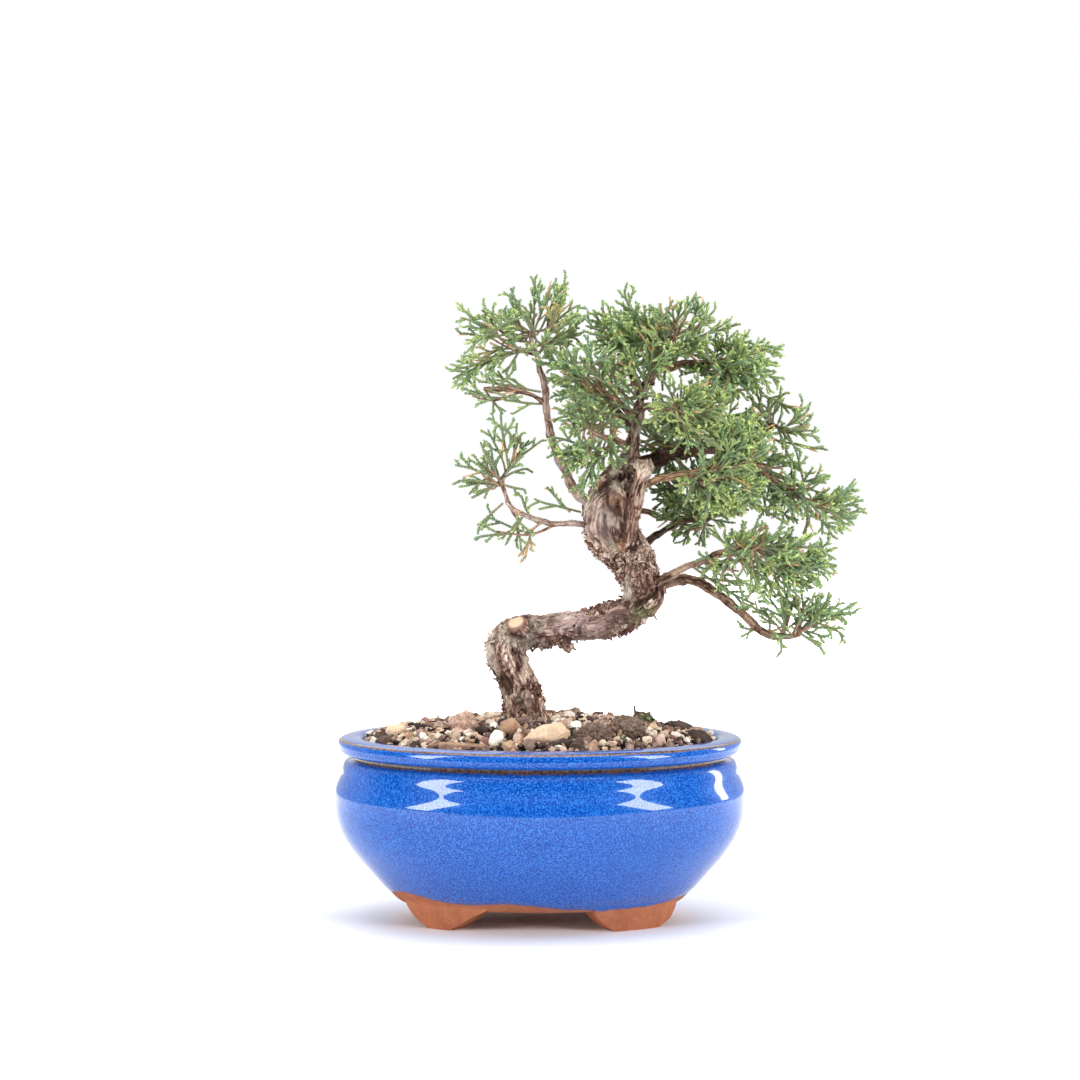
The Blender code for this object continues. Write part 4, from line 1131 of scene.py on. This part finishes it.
# each cluster: its middle, its radii, the limb it grows from, the shoots it has and how yellow its tips are
clusters = {
    "foliage_crown_left_tip": ((-11, -5, 154), (15, 12, 11), "branch_tall_left", 7, 0.5),
    "foliage_crown_left": ((9, -3, 157), (17, 14, 12), "branch_tall_left", 9, 0.6),
    "foliage_left_spur": ((-14.5, -12, 131.5), (14, 8, 7), "branch_left_spur", 3.0, 0.5),
    "foliage_low_left_top": ((-7.6, -12, 105.5), (11.5, 9, 15), "branch_low_left", 4.5, 0.3),
    "foliage_low_left_tip": ((-18, -11, 98), (8, 7, 9), "branch_low_left", 3, 0.3),
    "foliage_low_left_under": ((-6, -11, 76.5), (16, 9, 9), "branch_low_left", 2.6, 0.3),
    "foliage_crown_centre": ((21, -9, 139), (17, 13, 14), "branch_crown_left", 12, 0.4),
    "foliage_heart_left": ((23, -17, 113.5), (17, 11, 15), "branch_heart_left", 13, 0.35),
    "foliage_apex_left": ((36, -4, 155), (13, 12, 11), "leader", 9, 0.5),
    "foliage_apex_right": ((61, -3, 154), (14, 12, 11), "leader", 11, 0.55),
    "foliage_top_right": ((81, 0, 141), (18, 15, 13), "branch_top_right", 15, 0.5),
    "foliage_front_crown": ((64, -22, 122), (17, 11, 14), "branch_front_crown", 16, 1.0),
    "foliage_upper_right": ((98, 2, 117), (14, 13, 12), "branch_upper_right", 13, 0.5),
    "foliage_right_shoulder": ((84, -17, 112), (13, 10, 13), "branch_gold", 13, 0.95),
    "foliage_right_heart": ((77, -17, 92), (17, 12, 13), "branch_gold", 17, 0.8),
    "foliage_far_right": ((113, -7, 87), (18, 13, 12), "branch_far_right", 13, 0.35),
    "foliage_right_mid": ((88, -12, 66.5), (17, 13, 13.5), "branch_right_red", 15, 0.7),
    "foliage_right_mid_tip": ((109.5, -8, 64), (13, 10, 11), "branch_right_red", 9, 0.4),
    "foliage_low_right": ((98, -5, 43.5), (14, 12, 11), "branch_low_right", 5, 0.4),
    "foliage_low_right_tip": ((115, -5, 42), (11, 10, 9), "branch_low_right", 5, 0.4),
    "foliage_under_heart": ((64, 9, 81), (12, 10, 11), "branch_right_thin", 7, 0.3),
    "foliage_back_left": ((27, 22, 130), (18, 13, 16), "branch_back_left", 13, 0.4),
    "foliage_back_crown": ((52, 21, 148), (16, 12, 14), "leader", 10, 0.4),
    "foliage_back_right": ((70, 26, 119), (18, 13, 15), "branch_back_right", 13, 0.4),
    "foliage_back_low": ((74, 27, 89), (17, 12, 14), "branch_back_low", 12, 0.35),
    "foliage_back_edge": ((97, 19, 94), (14, 11, 13), "branch_thick_right", 10, 0.35),
    "sprays_inner_shade": ((56, 15, 112), (13, 8, 19), "branch_back_right", 13, 0.0),
    "sprays_inner_low": ((62, 14, 92), (13, 8, 10), "branch_back_low", 9, 0.0),
}
# single shoots that make the outline, from start to tip
keyShoots = {
    "foliage_crown_left_tip": [((-2.5, -4, 147.9), (-29.2, -10, 134.5)),
        ((-6.8, -5, 145.9), (-28.4, -8, 139.6)), ((0.3, -4, 151.4), (-26.1, -8, 159.3)),
        ((1.5, -4, 154.6), (-6.8, -6, 171.4)), ((-2.9, -5, 146.7), (-8.4, -8, 136.9))],
    "foliage_crown_left": [((2.2, -4, 152.6), (8.6, -2, 172.7)), ((3.8, -3, 152.6), (17.3, 2, 172.4))],
    "foliage_left_spur": [((6.2, -7, 125.5), (-8.3, -12, 126.3)), ((5.4, -7, 130.2), (-19.3, -14, 133.8))],
    "foliage_low_left_top": [((-7.2, -12, 99.6), (-9.5, -14, 124.0)), ((-6.0, -12, 102.8), (5.4, -14, 111.5))],
    "foliage_low_left_tip": [((-9.9, -12, 96.5), (-29.1, -14, 100.5)), ((-8.8, -12, 93.3), (-27.3, -10, 95.6))],
    "foliage_low_left_under": [((21.2, -3, 82.6), (2.6, -10, 88.9)), ((16.9, -5, 82.7), (8.1, -10, 92.5)),
        ((-9.5, -12, 86.6), (-19.4, -14, 75.7)), ((-4.4, -11, 83.4), (-3.3, -12, 67.3)),
        ((-0.9, -11, 82.7), (-8.8, -14, 70.2))],
    "foliage_heart_left": [((31.0, -10, 111.4), (22.7, -14, 91.1)), ((28.6, -9, 115.3), (14.0, -14, 97.4)),
        ((30.2, -10, 114.5), (18.7, -16, 91.9)), ((30, -10, 113), (26, -15, 96))],
    "foliage_apex_left": [((44.5, -3, 150.6), (38.4, -6, 170.3)), ((46, -3, 130), (38, -15, 148)),
        ((46, -3, 128), (49, -16, 153)), ((47, -3, 133), (34, -14, 156))],
    "foliage_apex_right": [((54.3, -3, 150.6), (66.9, -4, 169.1)), ((50.4, -3, 152.6), (57.0, -6, 166.3)),
        ((50, -2, 138), (60, -16, 150)), ((48, -2, 135), (56, -15, 142)), ((56, -1, 146), (70, -14, 152))],
    "foliage_top_right": [((64.3, 0, 150.6), (83.0, 2, 157.7)), ((76.2, 0, 148.6), (100.6, 4, 143.9)),
        ((80, 1, 143), (99, -4, 133))],
    "foliage_upper_right": [((92.4, 4, 128.8), (109.6, 0, 123.7)), ((98.4, 4, 110.9), (117.3, 2, 108.2))],
    "foliage_far_right": [((107.8, -4, 85.5), (128.6, -6, 91.5)), ((107.9, -4, 81.5), (129.9, -10, 81.0))],
    "foliage_right_mid_tip": [((103.7, -8, 63.9), (122.6, -8, 68.7)), ((98, -8, 64), (112, -6, 52))],
    "foliage_low_right_tip": [((108.0, -5, 41.9), (130.3, -8, 42.9)), ((104.0, -5, 37.9), (116.9, -8, 28.3))],
    "foliage_low_right": [((65.5, 4, 60.7), (79.5, -4, 51.0)), ((68.6, 2, 63.3), (82.0, -8, 54.0)),
        ((66, 4, 56), (84, -3, 56)), ((86.3, -2, 47.6), (95.9, -6, 59.8)), ((76, 2, 52), (90, -4, 46))],
    "foliage_right_mid": [((85.8, -8, 87.6), (102.4, -14, 77.3)), ((89.8, -10, 64.1), (107.4, -12, 48.4)),
        ((84, -8, 64), (100, -12, 52))],
    "foliage_crown_centre": [((45, -4, 126), (36, -18, 138)), ((44, -4, 122), (33, -17, 126))],
    "foliage_back_right": [((44.8, 6, 114.9), (53.8, 12, 120.7)), ((44.9, 8, 110.8), (65.1, 14, 98.6)),
        ((46, 8, 108), (60, 14, 112)), ((48, 8, 112), (68, 16, 106))],
}
leader = [(45.8, 1, 129.7, 2.8), (50.8, 2, 139.2, 2.2), (55.9, 1, 147, 1.8), (58, 0, 152, 1.3)]


def strayBy(chance, amount):
    return Vector((chance.gauss(0, amount), chance.gauss(0, amount), chance.gauss(0, amount)))


def growCord(cords, chance, start, heading, face, length, level, look, goal=None):
    # one cord of scale leaves with its side cords, alternate and nearly flat
    step = foliage["leafStep"]
    count = max(2, round(length / step))
    radius = foliage["cordRadius"] * foliage["radii"][level]
    withered = level > 0 and chance.random() < foliage["withered"][level]
    at, ahead = start.copy(), heading.normalized()
    points, headings = [at.copy()], [ahead.copy()]
    bend = strayBy(chance, 0.012)
    for _ in range(count):
        if goal is not None:
            ahead = ahead.lerp((goal - at).normalized(), 0.13)
        ahead = (ahead + bend + strayBy(chance, 0.02) + look["lift"]).normalized()
        at = at + ahead * step
        points.append(at.copy())
        headings.append(ahead.copy())
    twist = chance.uniform(0, math.pi)
    tube, ages, dry = [], [], []
    for i, point in enumerate(points):
        share = i / count
        width = radius * (1.13 if i % 2 else 0.84) * (1.0 - 0.14 * share)
        if withered:
            width *= 0.85 - 0.35 * share
        if i == count:
            width = radius * (0.22 if withered else look["tip"])
        if level == 0 and share < 0.3:
            width = radius * 0.82
        tube.append((point, width, twist + (math.pi / 4 if i % 2 else 0.0)))
        ages.append((level + share) / 4 if level < 3 else 0.78 + 0.22 * share)
        dry.append(min(1.0, 0.25 + share) if withered else look["dry"] * share)
    cords.append((tube, ages, look["tint"], dry))
    if level == 3 or withered:
        return
    spacing = foliage["spacing"][level]
    reach = spacing * chance.uniform(0.4, 1.0) + length * (0.14, 0.16, 0.42)[level]
    side = chance.choice((-1, 1))
    while reach < length * 0.98:
        index = min(count, round(reach / step))
        left = 1 - reach / length
        size = (0.62, 0.55)[min(level, 1)] * length * (0.30 + 0.70 * left) * chance.uniform(0.6, 1.25)
        if level == 2:
            size = chance.uniform(1.2, 2.6)
        size = min(size, foliage["longest"][level])
        if size > 0.9 and chance.random() > look["bare"][level]:
            out = Quaternion(face, side * math.radians(chance.uniform(26, 42))) @ headings[index]
            out = (out + face * chance.gauss(0, 0.15)).normalized()
            flat = (face + out * -face.dot(out)).normalized()
            growCord(cords, chance, points[index], out, flat, size, level + 1, look)
        side = -side
        reach += spacing * chance.uniform(0.75, 1.25)


def growShoot(cords, chance, start, heading, target, look):
    # a leading shoot that leaves its twig's way and bends over to the target
    aim = target - start
    face = Vector((chance.gauss(0, 0.5), -1.0, chance.gauss(0, 0.5)))
    if chance.random() < 0.4:
        face = strayBy(chance, 1.0)
    aimed = aim.normalized()
    face = (face - aimed * face.dot(aimed)).normalized()
    first = heading.normalized() * 0.5 + aimed * 0.8
    growCord(cords, chance, start, first, face, aim.length, 0, look, target)


def cordsMesh(name, cords):
    values = {"age": [ages for _, ages, _, _ in cords],
              "tint": [[tint] * len(tube) for tube, _, tint, _ in cords],
              "dry": [dry for _, _, _, dry in cords]}
    mesh = tubeMesh(name, [tube for tube, _, _, _ in cords], 0, values)
    mesh.transform(treePlace)
    mesh.shade_smooth()
    return mesh


def foliageMaterial():
    material, tree, shader = newMaterial("juniper_scales", 0.55, 0.35)
    coords = objectCoords(tree)
    patchy = noiseAt(tree, coords, 160, 3.0)
    fine = noiseAt(tree, coords, 1300, 3.0, 0.65)
    age = mathNode(tree, "MULTIPLY_ADD", mathNode(tree, "SUBTRACT", fine, 0.5), 0.35, attribute(tree, "age"))
    colour = ramp(tree, age, foliage["colours"])
    bright = mathNode(tree, "MULTIPLY", attribute(tree, "tint"), ramp(tree, age, [(0.15, 0.25), (0.7, 1.0)]))
    colour = mixColour(tree, mathNode(tree, "MULTIPLY", bright, 0.75), colour, foliage["tintColour"])
    blue = ramp(tree, patchy, [(0.45, 0.0), (0.68, 0.6)])
    colour = mixColour(tree, blue, colour, foliage["blueColour"])
    # dark spots between the scale leaves: painted shade
    gaps = ramp(tree, fine, [(0.32, 0.75), (0.50, 0.0)])
    colour = mixColour(tree, gaps, colour, foliage["gapShadeColour"])
    colour = mixColour(tree, attribute(tree, "dry"), colour, foliage["dryColour"])
    finishShader(tree, shader, colour, fine, 0.5, 0.0003)
    return material


def makeFoliage():
    material = foliageMaterial()
    woodyTwigs = []
    for number, (name, (middle, radii, limb, shoots, yellow)) in enumerate(clusters.items()):
        chance = random.Random(foliage["seed"] * 100 + number)
        stations = leader if limb == "leader" else branches[limb]
        path = evenPath(stations, 1.0)
        sparse = "low_left" in name or "spur" in name
        middle, cords = Vector(middle), []
        within = [p for p in path if all(abs(p[k] - middle[k]) < radii[k] * 1.15 for k in range(3))]
        within = within or [path[-1]]
        twigs = []
        for i in range(max(3, round(shoots / 2))):
            root = within[chance.randrange(len(within))] if i else within[-1]
            out = Vector([chance.uniform(-1, 1) * r * 0.62 for r in radii])
            tip = middle + out
            if (tip - root.xyz).length < 5:
                tip = root.xyz + (tip - root.xyz).normalized() * 5
            sag = (tip - root.xyz).length * 0.12
            mid = root.xyz.lerp(tip, 0.5) + Vector((0, 0, -sag)) + strayBy(chance, 0.8)
            line = evenPath([(*root.xyz, 0.6), (*mid, 0.48), (*tip, 0.38)], 0.9)
            twigs.append(line)
            woodyTwigs.append([(p.xyz, p.w * (0.9 + 0.2 * chance.random()), 0.0) for p in line])
        count = round(shoots * foliage["fullness"])
        for i in range(count):
            rise = 1 - 2 * (i + 0.5) / count
            turn = i * 2.39996 + chance.uniform(-0.5, 0.5)
            flat = math.sqrt(1 - rise * rise)
            out = Vector((flat * math.cos(turn), flat * math.sin(turn), rise))
            target = middle + Vector([o * r * chance.uniform(0.80, 1.12) for o, r in zip(out, radii)])
            line = min(twigs, key=lambda row: (row[-1].xyz - target).length + chance.uniform(0, 5))
            index = int(len(line) * chance.uniform(0.0, 0.8))
            root = line[index].xyz
            way = (line[index].xyz - line[max(0, index - 2)].xyz).normalized()
            span = target - root
            reach = min(max(span.length, 14.0), 31.0)
            if span.normalized().dot(way) < -0.3:
                way = -way
            look = {"tint": yellow * chance.uniform(0.15, 1.0), "dry": 0.0,
                    "tip": chance.choice((0.4, 0.6, 0.9)),
                    "bare": foliage["bareSparse" if sparse else "bare"],
                    "lift": Vector((0, 0, chance.uniform(0.0, 0.014)))}
            if chance.random() < 0.03:
                look["dry"] = chance.uniform(0.4, 0.9)
            growShoot(cords, chance, root, way, root + span.normalized() * reach, look)
        for start, tip in keyShoots.get(name, []):
            start, tip = Vector(start), Vector(tip)
            look = {"tint": yellow * chance.uniform(0.3, 1.0), "dry": 0.0, "tip": 0.5,
                    "lift": Vector((0, 0, 0)), "bare": foliage["bareSparseLeader" if sparse else "bare"]}
            growShoot(cords, chance, start, tip - start + strayBy(chance, 3), tip, look)
        addPiece(name.replace("foliage", "sprays"), cordsMesh(name, cords), material, "foliage",
                 *([name] if name in nodeSlot else []))
    mesh = tubeMesh("woody_twigs", woodyTwigs, 1, {"relief": [[0.5] * len(tube) for tube in woodyTwigs]})
    mesh.transform(treePlace)
    mesh.shade_smooth()
    addPiece("woody_twigs", mesh, twigLooks["red"], "twig")


print("foliage")
makeFoliage()


# Floor, light and camera.

studio = {
    "floorFront": -0.35,  # the table ends here, so the upper belly mirrors the dark room
    "floorBack": 2.0,
    "floorGlow": 1.0,  # strength of the white that takes over away from the pot
    "roomFront": 0.025,
    "roomBack": 0.77,
    "roomAbove": 0.8,
    "lampDistance": 1.25,
    # name, degrees round from the front and up, width and height in metres, watts, degrees of roll
    "lamps": [("left", -51, 14, 0.31, 0.76, 11, -24), ("right", 50, 14, 0.31, 0.76, 10.5, 24),
              ("side", 110, 12, 0.22, 0.50, 4, 0), ("top", 0, 80, 1.1, 1.1, 11, 0),
              ("back", 180, 45, 1.6, 0.8, 5, 0)],
    "cameraAway": 1.362,
    "cameraHeight": 0.2323,
    "cameraDown": 3.39,  # degrees
    "lens": 114.6,
}


def makeFloor():
    middle = (studio["floorFront"] + studio["floorBack"]) / 2
    half = (studio["floorBack"] - studio["floorFront"]) / 2
    bm = bmesh.new()
    bmesh.ops.create_grid(bm, x_segments=4, y_segments=4, size=1, matrix=Matrix.Translation((potX, middle, 0))
                          @ Matrix.Diagonal((3.0, half, 1, 1)))
    floor = addObject("studio_floor", meshFrom("studio_floor", bm))
    material, tree, shader = newMaterial("studio_white", 0.65, 0.2)
    cloud = noiseAt(tree, objectCoords(tree), 3.0, 2.0)
    white = ramp(tree, cloud, [(0.3, (0.86, 0.86, 0.88)), (0.7, (0.88, 0.88, 0.90))])
    plug(tree, shader.inputs["Base Color"], white)
    away = setNode(tree, "ShaderNodeVectorMath", {0: objectCoords(tree), 1: (potX, potY, 0)},
                   operation="DISTANCE")
    plug(tree, shader.inputs["Emission Color"], ramp(tree, away.outputs["Value"], [(0.13, 0.0), (0.45, 1.0)]))
    shader.inputs["Emission Strength"].default_value = studio["floorGlow"]
    floor.data.materials.append(material)


def addSoftbox(name, place, aim, width, height, power, roll):
    light = bpy.data.lights.new(name, "AREA")
    light.shape = "RECTANGLE"
    light.size, light.size_y = width, height
    light.energy = power
    lamp = addObject(name, light)
    lamp.location = place
    facing = (Vector(aim) - Vector(place)).to_track_quat("-Z", "Y")
    lamp.rotation_euler = (facing @ Quaternion((0, 0, 1), math.radians(roll))).to_euler()


def makeLight():
    world = bpy.data.worlds.new("studio")
    bpy.context.scene.world = world
    world.use_nodes = True
    tree = world.node_tree
    background = tree.nodes["Background"]
    direction = setNode(tree, "ShaderNodeTexCoord").outputs["Generated"]
    split = setNode(tree, "ShaderNodeSeparateXYZ", {"Vector": direction}).outputs
    behind = ramp(tree, mathNode(tree, "MULTIPLY_ADD", split["Y"], 0.5, 0.5),
                  [(0.46, studio["roomFront"]), (0.64, studio["roomBack"])])
    above = ramp(tree, mathNode(tree, "MULTIPLY_ADD", split["Z"], 0.5, 0.5),
                 [(0.70, 0.0), (0.95, studio["roomAbove"])])
    light = mixColour(tree, 1.0, behind, above, "LIGHTEN")
    seen = setNode(tree, "ShaderNodeLightPath").outputs["Is Camera Ray"]
    plug(tree, background.inputs["Color"], mixColour(tree, seen, light, (1.0, 1.0, 1.0)))
    background.inputs["Strength"].default_value = 1.0
    centre = (potX, potY, 0.12)
    for name, turn, rise, width, height, power, roll in studio["lamps"]:
        turn, rise = math.radians(turn), math.radians(rise)
        way = Vector((math.sin(turn) * math.cos(rise), -math.cos(turn) * math.cos(rise), math.sin(rise)))
        place = Vector(centre) + studio["lampDistance"] * way
        addSoftbox("softbox_" + name, place, centre, width, height, power, roll)


def makeCamera():
    data = bpy.data.cameras.new("camera")
    data.lens, data.sensor_width = studio["lens"], 36.0
    camera = addObject("camera", data)
    camera.location = (potX, potY - studio["cameraAway"], studio["cameraHeight"])
    camera.rotation_euler = (math.radians(90 - studio["cameraDown"]), 0, 0)
    bpy.context.scene.camera = camera
    bpy.context.scene.view_settings.view_transform = "Standard"


print("light and camera")
makeFloor()
makeLight()
makeCamera()
